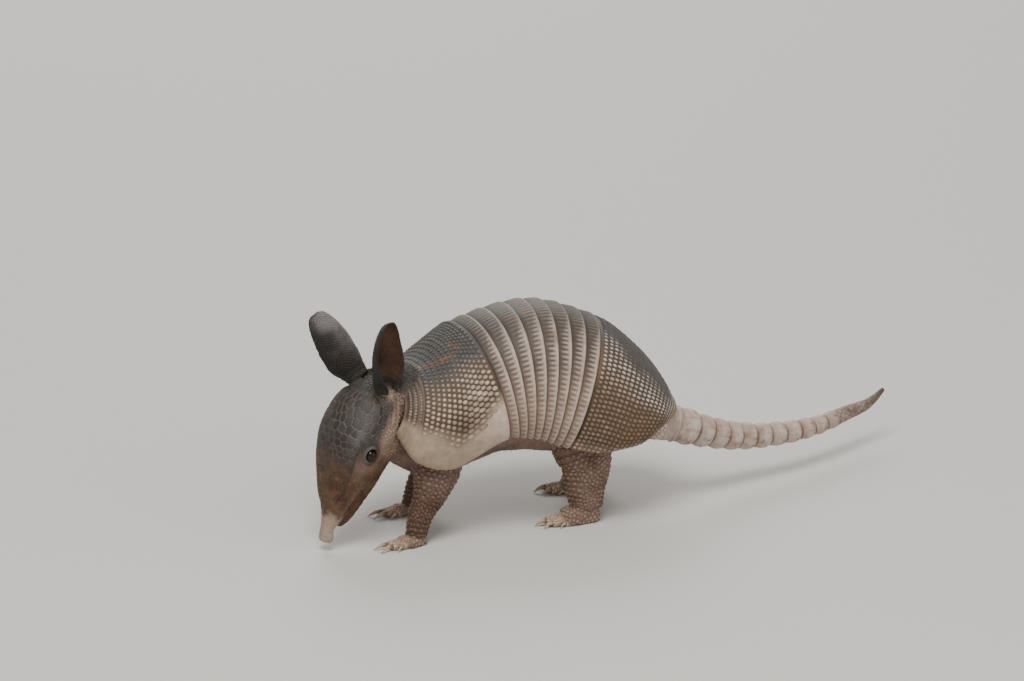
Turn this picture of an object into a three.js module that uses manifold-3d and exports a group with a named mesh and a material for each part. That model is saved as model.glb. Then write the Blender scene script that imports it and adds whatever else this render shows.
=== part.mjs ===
// A young nine-banded armadillo, life size, nosing at the ground with its body bent a little to its left.
// Millimetres. +Z is up, the floor is z = 0, the head points to -X and the animal's left side faces -Y.
// Carapace, head shield, flesh, eyes and claws are separate solids that meet with a gap of SEAM.
import * as THREE from "three";
import { mergeVertices } from "three/addons/utils/BufferGeometryUtils.js";
import Module from "manifold-3d";

const wasm = await Module();
wasm.setup();

// ---------------------------------------------------------------- driving sizes
const ORIGIN = [36.0, 6.3]; // body frame's x, y at the part's origin, under the middle of its box
const SEAM = 0.3; // gap between neighbouring solids
const SPINE_RADIUS = 286; // the body bends sideways along this arc
const PLATE = 2.0; // thickness of the carapace
const BANDS = 8; // movable bands between the two shields
const BAND_STEP = 1.0; // how far a band's rear edge stands over the next band
const BAND_GAP = 0.3 / 8; // slit between two bands, in the shell's own coordinate
const WIDEST_AT = 0.27; // height of the shell's widest line, as a share of each hoop's height
const TUCK = 0.13; // how far the lower edge turns in, as a share of the half-width
const UPPER_SHARE = 0.79; // share of a hoop's length that lies above its widest line
const FULLNESS = 0.93; // below 1 the hoops are fuller than an ellipse

// Hoops of the carapace, front to rear: place 0-1 is the shoulder shield, 1-2 the bands, 2-3 the pelvic shield.
// [place, top x, top z, lower edge x, lower edge z, half-width]
const HOOPS = [
  [0.0, -71.5, 74, -81.5, 52, 21],
  [0.3, -58, 78.5, -73.5, 39.5, 28.5],
  [0.65, -47.5, 86, -56, 34.6, 32.5],
  [1.0, -36.5, 92.2, -25, 45.5, 34.5],
  [1.5, -4, 98.9, -10, 43.5, 36],
  [2.0, 27.5, 89.2, 5, 38.3, 37],
  [2.35, 46, 74.5, 24, 34.6, 36],
  [2.7, 59, 57.5, 43, 36, 29.5],
  [3.0, 64.5, 46, 52.5, 39.5, 17.5],
];

const SHIELD_STEPS = 6; // facets of a shield along the body

// The trunk fills the carapace. Its hoops stand at places along the carapace.
const TRUNK_PLACES = [0.12, 0.4, 0.7, 1, 1.33, 1.66, 2, 2.2, 2.4, 2.6, 2.8, 2.9];
const TRUNK_SIDES = 20;
const TRUNK_ROOM = 0.6; // extra room under the carapace
const BELLY_TUCK = 0.12; // how much narrower the trunk's lower half gets
// [place, how far the belly hangs below the shell's lower edge]
const BELLY = [
  [0.0, 1],
  [0.3, 4],
  [0.65, 9],
  [1.0, 14],
  [1.5, 12],
  [2.0, 9],
  [2.5, 5],
  [3.0, 2],
];

// Head, in its own frame: s runs from the nape to the nose, and the dorsal side is up.
const HEAD_PITCH = 68; // degrees, nose down
const HEAD_YAW = 20; // degrees, to the animal's left
const NOSE_TIP = [-106.8, -23.7, 4.0];
const HEAD_LENGTH = 70.5;
// [s, centre's offset to dorsal, half-height, half-width]
const SKULL = [
  [-7, -8, 8, 9],
  [0, -4.5, 12.8, 13.8],
  [10, -1.5, 15.2, 16.6],
  [20, 0, 15.7, 17.4],
  [30, 0.3, 14.4, 16.0],
  [38, 0.8, 11.8, 13.2],
  [46, 1.2, 8.7, 9.9],
  [54, 1.3, 5.9, 6.9],
  [60, 0.9, 4.2, 4.8],
  [65, 0.9, 3.2, 3.7],
  [68.6, 0, 3.5, 4.0],
  [70.5, 0, 2.5, 3.0],
];
const JAW = [
  [8, -9.5, 7, 13.4],
  [18, -10.8, 7.8, 15.2],
  [28, -10, 6.8, 12.6],
  [38, -9.6, 6, 9.2],
  [48, -7.4, 5, 7.2],
  [56, -5.4, 4.2, 5.6],
  [60, -4.2, 3.2, 4.3],
  [62, -3.5, 1.8, 2.6],
];
const HEAD_SHIELD = { under: 0.45, over: 1.45 }; // the plate on the crown, as heights over the skull
// [s, half-width of the plate as an angle round the skull, degrees]
const SHIELD_REACH = [
  [-1, 30],
  [8, 46],
  [20, 52],
  [30, 52],
  [42, 50],
  [52, 42],
  [58, 20],
];
const EYE = { s: 26.4, angle: 80, radius: 2.9, sunk: 1.5 };

// Ears: base and direction in the head's frame as [forward, dorsal, outward].
const EAR = { length: 35, width: 9.2, wall: 1.1, base: [-6.5, 3.8, 8.4] };
const EARS = {
  left: { side: 1, points: [-0.8, 0.46, 0.38], opens: [0, -0.3, 0.95] },
  right: { side: -1, points: [-0.56, 0.617, 0.553], opens: [0.3, -0.1, 1] },
};
// [share of the ear's length, half-width share, half-angle of its rolled section in degrees]
const EAR_FORM = [
  [0.0, 0.54, 150],
  [0.14, 0.68, 130],
  [0.32, 0.92, 98],
  [0.52, 1.02, 74],
  [0.74, 0.9, 60],
  [0.9, 0.68, 52],
  [0.97, 0.48, 48],
  [1.0, 0.26, 45],
];

// Neck: [x, y, z, half-width, half-height] in the body's frame, from inside the shoulders to inside the skull.
const NECK = [
  [-52, -5, 58, 21, 17],
  [-64, -7.5, 60.5, 20, 17],
  [-73, -11, 63.5, 16, 16.5],
  [-81, -14.5, 66.5, 11.5, 14.5],
];

// Tail: [x, y, z, radius]. It starts inside the rump.
const TAIL = [
  [51, -5, 40.2, 10.0],
  [56, -5, 38.5, 9.0],
  [64.5, -5.5, 36, 8.0],
  [80.5, -2, 29.6, 6.5],
  [97, 4.5, 24, 5.8],
  [113, 9.8, 21, 5.1],
  [131.5, 17, 19.2, 4.4],
  [147, 25.5, 18.6, 3.7],
  [160, 34, 18.9, 3.2],
  [170, 40.5, 18.9, 2.6],
  [177, 45.2, 20.2, 1.8],
  [184, 50.8, 22.7, 0.9],
];
const TAIL_RINGS = 11; // hard rings
const RING_START = 14; // distance from the tail's first station to the first ring
const RING_LENGTH = 8.9;
const RING_FLARE = 0.1; // each ring's rear rim stands out by this share of the radius
// [name, first ring, last ring]; the first length starts in the rump and the last one ends at the tip
const TAIL_PARTS = [
  ["tail_base", -Infinity, 4],
  ["tail_middle", 4, 8],
  ["tail_end", 8, Infinity],
];

// Legs: [x, y, z, half-width along the body, half-width across], from inside the trunk to the ankle.
const LEGS = {
  foreleg_left: [
    [-52, -15, 45, 12, 9],
    [-53.5, -20.5, 34, 12, 8.5],
    [-57, -24.5, 24, 8.6, 6.8],
    [-63, -27, 13, 5.8, 5.2],
    [-65.5, -27.5, 3.5, 4.8, 5],
  ],
  foreleg_right: [
    [-49, 3, 45, 12, 9],
    [-47, 8.5, 34, 12, 8.5],
    [-46, 12, 24, 8.4, 6.8],
    [-51, 14, 13, 5.8, 5.2],
    [-54, 14.5, 3.5, 4.8, 5],
  ],
  hindleg_left: [
    [18, -14, 47, 16, 9],
    [15.5, -19, 35.5, 14.5, 8.8],
    [16.8, -20.8, 26.5, 11.7, 7.8],
    [16.2, -21.2, 17, 9.8, 6.8],
    [16.8, -21.2, 7, 7.4, 5.8],
  ],
  hindleg_right: [
    [24, 12, 47, 16, 9],
    [23, 16.5, 35.5, 14.5, 8.8],
    [25.5, 19.5, 26.5, 11.7, 7.8],
    [29, 20.5, 17, 9.6, 6.8],
    [30.5, 21, 7, 7.4, 5.8],
  ],
};
const PALM = 3; // distance of the palm's middle from the heel
const TOE_HEIGHTS = { root: 1.35, knuckle: 0.8 }; // over the floor, in toe radii
// Toes, from the animal's right to its left: [heading offset, reach from the palm, toe radius, claw length]
const FORE_TOES = [
  [-23, 11.5, 1.5, 4.2],
  [-7, 14.5, 1.9, 6.6],
  [8, 14.2, 1.9, 6.4],
  [25, 10.8, 1.5, 4.0],
];
const HIND_TOES = [
  [-24, 14.0, 1.5, 3.0],
  [-11, 17.5, 1.9, 4.2],
  [0, 19.0, 2.3, 5.0],
  [11, 17.5, 1.9, 4.2],
  [25, 13.0, 1.5, 3.0],
];
// Feet: heel at the floor, and heading in degrees to the animal's left.
const FEET = {
  forefoot_left: { heel: [-64, -27.5], heading: 16, length: 11, half: 5.6, high: 6, toes: FORE_TOES },
  forefoot_right: { heel: [-52.5, 14.5], heading: 8, length: 11, half: 5.6, high: 6, toes: FORE_TOES },
  hindfoot_left: { heel: [18, -21], heading: 3, length: 15, half: 6.4, high: 10, toes: HIND_TOES },
  hindfoot_right: { heel: [32, 20], heading: -6, length: 15, half: 6.4, high: 10, toes: HIND_TOES },
};

// Colour and roughness of each material.
const SKINS = {
  shell: { color: 0x6f6258, roughness: 0.62 },
  band: { color: 0x8b7a6e, roughness: 0.6 },
  skin: { color: 0x8d6f64, roughness: 0.8 },
  head: { color: 0x6d625c, roughness: 0.68 },
  ear: { color: 0x4f4a49, roughness: 0.75 },
  tail: { color: 0xb39a8d, roughness: 0.66 },
  claw: { color: 0xb9a284, roughness: 0.45 },
  eye: { color: 0x0b0a0a, roughness: 0.12 },
};

// ---------------------------------------------------------------- small maths
const rad = (degrees) => (degrees * Math.PI) / 180;
const vec = (...p) => new THREE.Vector3(...p);
const UP = vec(0, 0, 1);
const grid = (n, make) => Array.from({ length: n + 1 }, (_, i) => make(i / n));

// Smooth value of a table's columns at key t: a cubic through the rows that never overshoots a turn.
function at(table, t) {
  const last = table.length - 1;
  let i = table.findIndex((row) => row[0] > t) - 1;
  if (i < 0) i = t < table[0][0] ? 0 : last - 1;
  const width = table[i + 1][0] - table[i][0];
  const f = Math.min(1, Math.max(0, (t - table[i][0]) / width));
  const slope = (a, b, c) => (table[b][c] - table[a][c]) / (table[b][0] - table[a][0]);
  const tangent = (k, c) => {
    if (k === 0) return slope(0, 1, c);
    if (k === last) return slope(last - 1, last, c);
    const before = slope(k - 1, k, c);
    const after = slope(k, k + 1, c);
    return before * after <= 0 ? 0 : (2 * before * after) / (before + after);
  };
  return table[i].slice(1).map((_, k) => {
    const c = k + 1;
    const [a, b] = [table[i][c], table[i + 1][c]];
    const [ta, tb] = [tangent(i, c) * width, tangent(i + 1, c) * width];
    return (
      a * (1 + 2 * f) * (1 - f) ** 2 + b * f * f * (3 - 2 * f) + ta * f * (1 - f) ** 2 - tb * f * f * (1 - f)
    );
  });
}
const numbered = (rows) => rows.map((row, i) => [i, ...row]);

// Stations that start with x, y, z, keyed by their distance from the first one.
function byLength(stations) {
  let run = 0;
  return stations.map((row, i) => {
    if (i > 0) run += Math.hypot(...[0, 1, 2].map((k) => row[k] - stations[i - 1][k]));
    return [run, ...row];
  });
}

// An ellipse of points square to way, with its first axis level or square to keepUp.
function ring(centre, way, keepUp, wide, high, sides) {
  const side = vec().crossVectors(way, keepUp).normalize();
  const up = vec().crossVectors(side, way);
  return grid(sides - 1, (g) => {
    const angle = g * 2 * Math.PI * ((sides - 1) / sides);
    return centre
      .clone()
      .addScaledVector(side, wide * Math.cos(angle))
      .addScaledVector(up, high * Math.sin(angle));
  });
}

// ---------------------------------------------------------------- meshes
// A closed geometry from rows of points, each a loop. An end is closed by strips that pair the
// loop's two halves, so a row can be a bent strip as well as a ring.
function loft(rows) {
  const n = rows[0].length;
  const position = rows.flat().flatMap((p) => p.toArray());
  const index = [];
  for (let r = 0; r + 1 < rows.length; r++)
    for (let k = 0; k < n; k++) {
      const [a, b] = [r * n + k, r * n + ((k + 1) % n)];
      index.push(a, b, b + n, a, b + n, a + n);
    }
  const close = (first, flip) => {
    const face = (...corners) => index.push(...(flip ? corners.reverse() : corners).map((k) => first + k));
    for (let [i, j] = [0, n - 1]; j - i >= 2; i++, j--) {
      face(i, i + 1, j);
      if (j - i > 2) face(i + 1, j - 1, j);
    }
  };
  close(0, true);
  close((rows.length - 1) * n, false);
  return facingOut(geometry(position, index));
}

function geometry(position, index) {
  const made = new THREE.BufferGeometry();
  made.setAttribute("position", new THREE.Float32BufferAttribute(position, 3));
  made.setIndex(index);
  return mergeVertices(made, 1e-3);
}

function facingOut(made) {
  const p = made.attributes.position;
  const ix = made.index.array;
  let volume = 0;
  for (let i = 0; i < ix.length; i += 3) {
    const [a, b, c] = [0, 1, 2].map((k) => vec().fromBufferAttribute(p, ix[i + k]));
    volume += a.dot(b.cross(c));
  }
  if (volume < 0) for (let i = 0; i < ix.length; i += 3) [ix[i + 1], ix[i + 2]] = [ix[i + 2], ix[i + 1]];
  return made;
}

const solid = (made) =>
  new wasm.Manifold(
    new wasm.Mesh({
      numProp: 3,
      vertProperties: new Float32Array(made.attributes.position.array),
      triVerts: new Uint32Array(made.index.array),
    }),
  );

function shapeOf(made) {
  const biggest = made.decompose().sort((a, b) => b.volume() - a.volume())[0];
  const mesh = biggest.getMesh();
  return geometry(Array.from(mesh.vertProperties), Array.from(mesh.triVerts));
}
const cut = (whole, ...tools) => tools.reduce((rest, tool) => rest.subtract(tool), whole);

// ---------------------------------------------------------------- carapace
// A point of the straight body, bent along the spine's arc.
function bent(x, y, z) {
  const turn = x / SPINE_RADIUS;
  return vec((SPINE_RADIUS + y) * Math.sin(turn), (SPINE_RADIUS + y) * Math.cos(turn) - SPINE_RADIUS, z);
}

// Half of a hoop as [across, up] at q, 0 on the back and 1 on the lower edge.
function hoopCurve(q, height, half) {
  if (q < UPPER_SHARE) {
    const angle = (q / UPPER_SHARE) * (Math.PI / 2);
    const up = WIDEST_AT + (1 - WIDEST_AT) * Math.max(0, Math.cos(angle)) ** FULLNESS;
    return [half * Math.sin(angle) ** FULLNESS, height * up];
  }
  const down = (q - UPPER_SHARE) / (1 - UPPER_SHARE);
  return [half * (1 - TUCK * down * down), height * WIDEST_AT * (1 - down)];
}

// A point of the shell at a place along it, sunk below its surface. v is -1 on the left edge and 1 on the right.
function shellPoint(place, v, sunk = 0) {
  const [tx, tz, bx, bz, half] = at(HOOPS, place);
  const height = Math.hypot(tx - bx, tz - bz);
  const q = Math.abs(v);
  const [across, up] = hoopCurve(q, height, half);
  const step = 1e-3;
  const a = hoopCurve(Math.max(0, q - step), height, half);
  const b = hoopCurve(Math.min(1, q + step), height, half);
  const run = Math.hypot(b[0] - a[0], b[1] - a[1]);
  const inwardY = (b[1] - a[1]) / run;
  const inwardUp = -(b[0] - a[0]) / run;
  const y = across + inwardY * sunk;
  const share = (up + inwardUp * sunk) / height;
  return bent(bx + (tx - bx) * share, Math.sign(v || 1) * y, bz + (tz - bz) * share);
}

// A curved plate over the places given, between two depths. rise lifts its rear edge above its front edge.
function plate(from, to, { along, around = 18, outer = 0, inner = PLATE, rise = 0 }) {
  const rows = grid(around, (a) => {
    const v = 2 * a - 1;
    const lift = (f) => outer - rise * f;
    const outside = grid(along, (f) => shellPoint(from + (to - from) * f, v, lift(f)));
    const inside = grid(along, (f) => shellPoint(from + (to - from) * f, v, inner));
    return [...outside, ...inside.reverse()];
  });
  return loft(rows);
}

// ---------------------------------------------------------------- trunk
// A hoop of the trunk. grown makes the tool that keeps its neighbours off it.
function trunkRow(place, grown) {
  const [tx, tz, bx, bz, half] = at(HOOPS, place);
  const [hang] = at(BELLY, place);
  const height = Math.hypot(tx - bx, tz - bz);
  const inside = PLATE + SEAM + TRUNK_ROOM - grown;
  const upper = height * (1 - WIDEST_AT) - inside;
  const lower = height * WIDEST_AT + hang + grown;
  return grid(TRUNK_SIDES - 1, (f) => {
    const angle = f * 2 * Math.PI * (1 - 1 / TRUNK_SIDES);
    const [side, rise] = [Math.sin(angle), Math.cos(angle)];
    const narrow = rise < 0 ? 1 + BELLY_TUCK * rise : 1;
    const y = (half - inside) * narrow * Math.sign(side) * Math.abs(side) ** FULLNESS;
    const up = height * WIDEST_AT + (rise > 0 ? upper * rise ** FULLNESS : lower * rise);
    const share = up / height;
    return bent(bx + (tx - bx) * share, y, bz + (tz - bz) * share);
  });
}
const trunk = (grown = 0) =>
  loft(
    TRUNK_PLACES.map((place, i) => {
      const end = i === 0 ? -1 : i === TRUNK_PLACES.length - 1 ? 1 : 0;
      return trunkRow(place + (end * grown) / 8, grown);
    }),
  );

// ---------------------------------------------------------------- head
const [pitch, yaw] = [rad(HEAD_PITCH), rad(HEAD_YAW)];
const FORWARD = vec(-Math.cos(pitch) * Math.cos(yaw), -Math.cos(pitch) * Math.sin(yaw), -Math.sin(pitch));
const LEFTWARD = vec(Math.sin(yaw), -Math.cos(yaw), 0);
const DORSAL = vec().crossVectors(FORWARD, LEFTWARD);
const NAPE = vec(...NOSE_TIP).addScaledVector(FORWARD, -HEAD_LENGTH);

const inHead = (forward, dorsal, left) =>
  NAPE.clone()
    .addScaledVector(FORWARD, forward)
    .addScaledVector(DORSAL, dorsal)
    .addScaledVector(LEFTWARD, left);

function headRow(table, s, grown, sides) {
  const [centre, high, half] = at(table, s);
  return grid(sides - 1, (f) => {
    const angle = f * 2 * Math.PI * ((sides - 1) / sides);
    return inHead(s, centre + (high + grown) * Math.cos(angle), (half + grown) * Math.sin(angle));
  });
}
const headLoft = (table, grown, sides) =>
  solid(
    loft(
      table.map(([s], i) => {
        const end = i === 0 ? -grown : i === table.length - 1 ? grown : 0;
        const row = headRow(table, s, grown, sides);
        return row.map((p) => p.addScaledVector(FORWARD, end));
      }),
    ),
  );
const headSolid = (grown = 0) => headLoft(SKULL, grown, 18).add(headLoft(JAW, grown, 12));

// The plate on the crown. Grown, it is the tool that keeps its neighbours off it.
function headShield(grown = 0) {
  const [start, stop] = [SHIELD_REACH[0][0], SHIELD_REACH[SHIELD_REACH.length - 1][0]];
  const rows = grid(9, (f) => {
    const s = start - grown + f * (stop - start + 2 * grown);
    const [centre, high, half] = at(SKULL, s);
    const [reach] = at(SHIELD_REACH, s);
    const line = (out) =>
      grid(6, (a) => {
        const angle = rad(reach + 6 * grown) * (2 * a - 1);
        return inHead(s, centre + (high + out) * Math.cos(angle), (half + out) * Math.sin(angle));
      });
    return [...line(HEAD_SHIELD.over + grown), ...line(HEAD_SHIELD.under - grown).reverse()];
  });
  return loft(rows);
}

function eyeCentre(side) {
  const [centre, high, half] = at(SKULL, EYE.s);
  const angle = rad(EYE.angle);
  return inHead(
    EYE.s,
    centre + (high - EYE.sunk) * Math.cos(angle),
    side * (half - EYE.sunk) * Math.sin(angle),
  );
}
const bare = (made) => mergeVertices(made.deleteAttribute("normal").deleteAttribute("uv"));
const ball = (centre, radius) =>
  bare(new THREE.SphereGeometry(radius, 10, 6)).translate(...centre.toArray());

// An ear is a rolled leaf: a tube at its base that opens into a pointed scoop.
function earShape({ side, points, opens }, grown = 0) {
  const along = (p) =>
    FORWARD.clone().multiplyScalar(p[0]).addScaledVector(DORSAL, p[1]).addScaledVector(LEFTWARD, side * p[2]);
  const axis = along(points).normalize();
  const open = along(opens);
  open.addScaledVector(axis, -open.dot(axis)).normalize();
  const across = vec().crossVectors(axis, open);
  const root = inHead(EAR.base[0], EAR.base[1], side * EAR.base[2]);
  const rows = grid(9, (f) => {
    const [wide, half] = at(EAR_FORM, f);
    const reach = Math.min(rad(half), Math.PI * 0.83);
    const radius = (EAR.width * wide) / Math.sin(Math.min(reach, Math.PI / 2));
    const centre = root.clone().addScaledVector(axis, f * EAR.length - 3);
    centre.addScaledVector(open, radius * 0.55);
    const line = (r, backwards) =>
      grid(6, (a) => {
        const angle = reach * (2 * a - 1) * (backwards ? -1 : 1);
        return centre
          .clone()
          .addScaledVector(open, -r * Math.cos(angle))
          .addScaledVector(across, r * Math.sin(angle));
      });
    return [...line(radius + grown, false), ...line(radius - EAR.wall, true)];
  });
  return loft(rows);
}

// ---------------------------------------------------------------- tubes: neck, legs, tail
// A tube through stations of [x, y, z, half-width, half-height], with its width square to keepUp.
function tube(stations, steps, sides, keepUp) {
  const table = numbered(stations);
  const last = stations.length - 1;
  return loft(
    grid(steps, (f) => {
      const t = f * last;
      const [x, y, z, wide, high] = at(table, t);
      const ahead = vec(...at(table, Math.min(last, t + 0.02)).slice(0, 3));
      const behind = vec(...at(table, Math.max(0, t - 0.02)).slice(0, 3));
      return ring(vec(x, y, z), ahead.sub(behind).normalize(), keepUp, wide, high, sides);
    }),
  );
}
const neckSolid = () => solid(tube(NECK, 3, 12, UP));
const legSolid = (name) => solid(tube(LEGS[name], 6, 12, vec(0, 1, 0)));

// The tail's rows are taken at distances along it, two at each joint between rings.
const TAIL_TABLE = byLength(TAIL);
const TAIL_LENGTH = TAIL_TABLE[TAIL_TABLE.length - 1][0];
const jointAt = (k) => RING_START + RING_LENGTH * k;

function tailRow(d, size) {
  const [x, y, z] = at(TAIL_TABLE, d);
  const ahead = vec(...at(TAIL_TABLE, d + 0.2).slice(0, 3));
  const behind = vec(...at(TAIL_TABLE, d - 0.2).slice(0, 3));
  const way = ahead.sub(behind).normalize();
  return ring(vec(x, y, z), way, UP, size, size, 10);
}

function tailPart(first, last) {
  const from = Math.max(0, jointAt(first)) + (first > 0 ? SEAM / 2 : 0);
  const to = Math.min(TAIL_LENGTH - 0.3, jointAt(last)) - (last < TAIL_RINGS ? SEAM / 2 : 0);
  const inside = (d) => d > from + 1 && d < to - 1;
  const stops = [];
  for (let k = 0; k <= TAIL_RINGS; k++) stops.push(jointAt(k) - 0.25, jointAt(k) + 0.25);
  for (let d = jointAt(TAIL_RINGS) + 7; d < to - 3; d += 7) stops.push(d);
  return loft(
    [from, ...stops.filter(inside), to]
      .map((d) => {
        const radius = at(TAIL_TABLE, d)[3];
        const place = (d - RING_START) / RING_LENGTH;
        const flare = place > 0 && place < TAIL_RINGS ? RING_FLARE * ((place % 1) - 0.5) : 0;
        return tailRow(d, radius * (1 + flare));
      }),
  );
}

// ---------------------------------------------------------------- feet
const heading = (degrees) => vec(-Math.cos(rad(degrees)), -Math.sin(rad(degrees)), 0);

// A blunt-ended bar from a to b, with its half-width and half-height at both ends.
function blob(a, b, [wideA, highA], [wideB, highB], sides) {
  const way = b.clone().sub(a).normalize();
  const slice = (p, out, wide, high, size) =>
    ring(p.clone().addScaledVector(way, out * high), way, UP, wide * size, high * size, sides);
  return solid(
    loft([
      slice(a, -0.7, wideA, highA, 0.6),
      slice(a, 0, wideA, highA, 1),
      slice(b, 0, wideB, highB, 1),
      slice(b, 0.7, wideB, highB, 0.6),
    ]),
  );
}

// Everything over the floor, as a box wide enough for the feet.
const ROOM = 600;
const roomBox = new THREE.BoxGeometry(ROOM, ROOM, ROOM).translate(0, 0, ROOM / 2);
const aboveFloor = solid(bare(roomBox));

// A toe's direction and the centres of its root, knuckle and front face. The toes fan out from the palm.
function toe({ heel, heading: way, toes }, i) {
  const [turn, reach, radius] = toes[i];
  const direction = heading(way + turn);
  const palm = vec(...heel, 0).addScaledVector(heading(way), PALM);
  const root = palm.clone().addScaledVector(direction, reach * 0.35).setZ(radius * TOE_HEIGHTS.root);
  const knuckle = palm.clone().addScaledVector(direction, reach - PALM).setZ(radius * TOE_HEIGHTS.knuckle);
  return { direction, radius, root, knuckle, front: knuckle.clone().addScaledVector(direction, radius * 0.7) };
}

function footSolid(foot) {
  const forwards = heading(foot.heading);
  const heel = vec(...foot.heel, foot.high * 0.42);
  const front = heel.clone().addScaledVector(forwards, foot.length * 0.62).setZ(foot.high * 0.3);
  const paw = blob(heel, front, [foot.half * 0.84, foot.high * 0.6], [foot.half, foot.high * 0.48], 8);
  const toes = foot.toes.map((_, i) => {
    const { direction, radius, root, knuckle, front: face } = toe(foot, i);
    const slice = (p, wide, high) => ring(p, direction, UP, wide * radius, high * radius, 6);
    return solid(loft([slice(root, 1.2, 1.35), slice(knuckle, 1, 1), slice(face, 0.62, 0.62)]));
  });
  return toes.reduce((made, one) => made.add(one), paw).intersect(aboveFloor);
}

// A claw is a curved cone that springs from the toe's front face and bends down to the floor.
function clawSolid(foot, i) {
  const { direction, radius, front } = toe(foot, i);
  const length = foot.toes[i][3];
  const rows = grid(3, (f) => {
    const size = radius * 0.5 * (1 - f) ** 0.7 + 0.12;
    const centre = front.clone().addScaledVector(direction, SEAM + length * f);
    centre.z += radius * 0.3 * Math.sin(Math.PI * f) - (radius * TOE_HEIGHTS.knuckle - 0.4) * f * f;
    return ring(centre, direction, UP, size * 0.85, size, 6);
  });
  return solid(loft(rows)).intersect(aboveFloor);
}

// ---------------------------------------------------------------- assembly
const animal = new THREE.Group();
animal.position.set(-ORIGIN[0], -ORIGIN[1], 0);

function add(name, made, finish) {
  const mesh = new THREE.Mesh(made, new THREE.MeshStandardMaterial({ metalness: 0, ...SKINS[finish] }));
  mesh.name = name;
  animal.add(mesh);
}

const SIDES = { left: 1, right: -1 };
const skull = headSolid();
const skullRoom = headSolid(SEAM);
const crownRoom = solid(headShield(SEAM));
const earRooms = Object.values(EARS).map((ear) => solid(earShape(ear, SEAM)));

// A shield as a tool that leaves a seam on both sides and beyond its free edge.
function shieldRoom(from, to, beyond) {
  const tool = solid(plate(from, to, { along: SHIELD_STEPS, outer: -2 * SEAM, inner: PLATE + 2 * SEAM }));
  return tool.add(tool.translate([beyond, 0, 0]));
}
const shoulderRoom = shieldRoom(0, 1, -2 * SEAM);
const pelvicRoom = shieldRoom(2, 3, 2 * SEAM);
const trunkRoom = solid(trunk(SEAM));

function addShell() {
  const shoulder = solid(plate(0, 1 - BAND_GAP / 2, { along: SHIELD_STEPS }));
  add("shoulder_shield", shapeOf(cut(shoulder, skullRoom, crownRoom)), "shell");
  for (let i = 0; i < BANDS; i++) {
    const from = 1 + i / BANDS + BAND_GAP / 2;
    const to = 1 + (i + 1) / BANDS - BAND_GAP / 2;
    add(`band_${i + 1}`, plate(from, to, { along: 1, outer: BAND_STEP, rise: BAND_STEP }), "band");
  }
  add("pelvic_shield", plate(2 + BAND_GAP / 2, 3, { along: SHIELD_STEPS }), "shell");
}

function addHead() {
  const sockets = Object.values(SIDES).map((side) => solid(ball(eyeCentre(side), EYE.radius + SEAM)));
  add("head", shapeOf(cut(skull, ...sockets)), "head");
  add("head_shield", headShield(), "head");
  for (const [name, side] of Object.entries(SIDES)) {
    add(`eye_${name}`, ball(eyeCentre(side), EYE.radius), "eye");
    add(`ear_${name}`, shapeOf(cut(solid(earShape(EARS[name])), skullRoom, crownRoom)), "ear");
  }
}

function addTrunk() {
  add("trunk", shapeOf(cut(solid(trunk()), skullRoom)), "skin");
  const neck = cut(neckSolid(), skullRoom, crownRoom, trunkRoom, shoulderRoom, ...earRooms);
  add("neck", shapeOf(neck), "skin");
}

function addTail() {
  for (const [name, first, last] of TAIL_PARTS)
    add(name, shapeOf(cut(solid(tailPart(first, last)), trunkRoom, pelvicRoom)), "tail");
}

// The foot as a tool that leaves a seam above it.
function footRoom(foot) {
  const toes = foot.toes.map(([turn, reach, radius, claw]) => [turn, reach, radius + SEAM, claw]);
  return footSolid({ ...foot, half: foot.half + SEAM, high: foot.high + 2 * SEAM, toes });
}

function addLegs() {
  for (const [name, foot] of Object.entries(FEET)) {
    const legName = name.replace("foot", "leg");
    const leg = legSolid(legName).intersect(aboveFloor);
    add(legName, shapeOf(cut(leg, trunkRoom, shoulderRoom, pelvicRoom, skullRoom, footRoom(foot))), "skin");
    add(name, shapeOf(footSolid(foot)), "skin");
    const claw = name.replace("foot", "claw");
    foot.toes.forEach((_, i) => add(`${claw}_${i + 1}`, shapeOf(clawSolid(foot, i)), "claw"));
  }
}

addShell();
addHead();
addTrunk();
addTail();
addLegs();

export default animal;
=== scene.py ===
# A young armadillo, still, nosing at the ground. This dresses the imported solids: one skin, shell plates with
# their scutes, a head plate, a ringed tail, eyes, claws, scales and hairs. Shapes are worked out in the frame
# of the body, in millimetres, and are put into the part's frame, in metres, as their meshes are made.
import itertools
import math

import bmesh
import bpy
import numpy as np
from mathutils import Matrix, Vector, kdtree


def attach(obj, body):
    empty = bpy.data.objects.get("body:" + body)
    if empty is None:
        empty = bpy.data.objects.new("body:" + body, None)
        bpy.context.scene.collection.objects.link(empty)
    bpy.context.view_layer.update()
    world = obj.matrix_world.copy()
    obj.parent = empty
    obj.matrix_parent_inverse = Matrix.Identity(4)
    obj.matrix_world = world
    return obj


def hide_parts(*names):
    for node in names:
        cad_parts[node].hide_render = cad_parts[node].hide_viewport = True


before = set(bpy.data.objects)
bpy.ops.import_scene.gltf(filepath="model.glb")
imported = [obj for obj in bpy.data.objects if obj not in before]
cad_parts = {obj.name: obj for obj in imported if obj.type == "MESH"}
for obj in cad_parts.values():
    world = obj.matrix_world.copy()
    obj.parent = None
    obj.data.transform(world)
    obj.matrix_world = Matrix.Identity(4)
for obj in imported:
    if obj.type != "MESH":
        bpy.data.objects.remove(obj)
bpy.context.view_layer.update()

# ---------------------------------------------------------------- driving sizes, millimetres and degrees
MM = 0.001
ORIGIN = np.array([36.0, 6.3, 0.0])  # body frame's point at the part's origin
SPINE_RADIUS = 286  # of the arc that the body is bent along
PLATE = 2.0  # thickness of the shell's plates
BANDS = 8
WIDEST_AT = 0.27  # share of a hoop's height where it is widest
TUCK = 0.13  # share of the half-width that its lower edge turns in
UPPER_SHARE = 0.79  # share of half a hoop that is above its widest point
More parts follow.
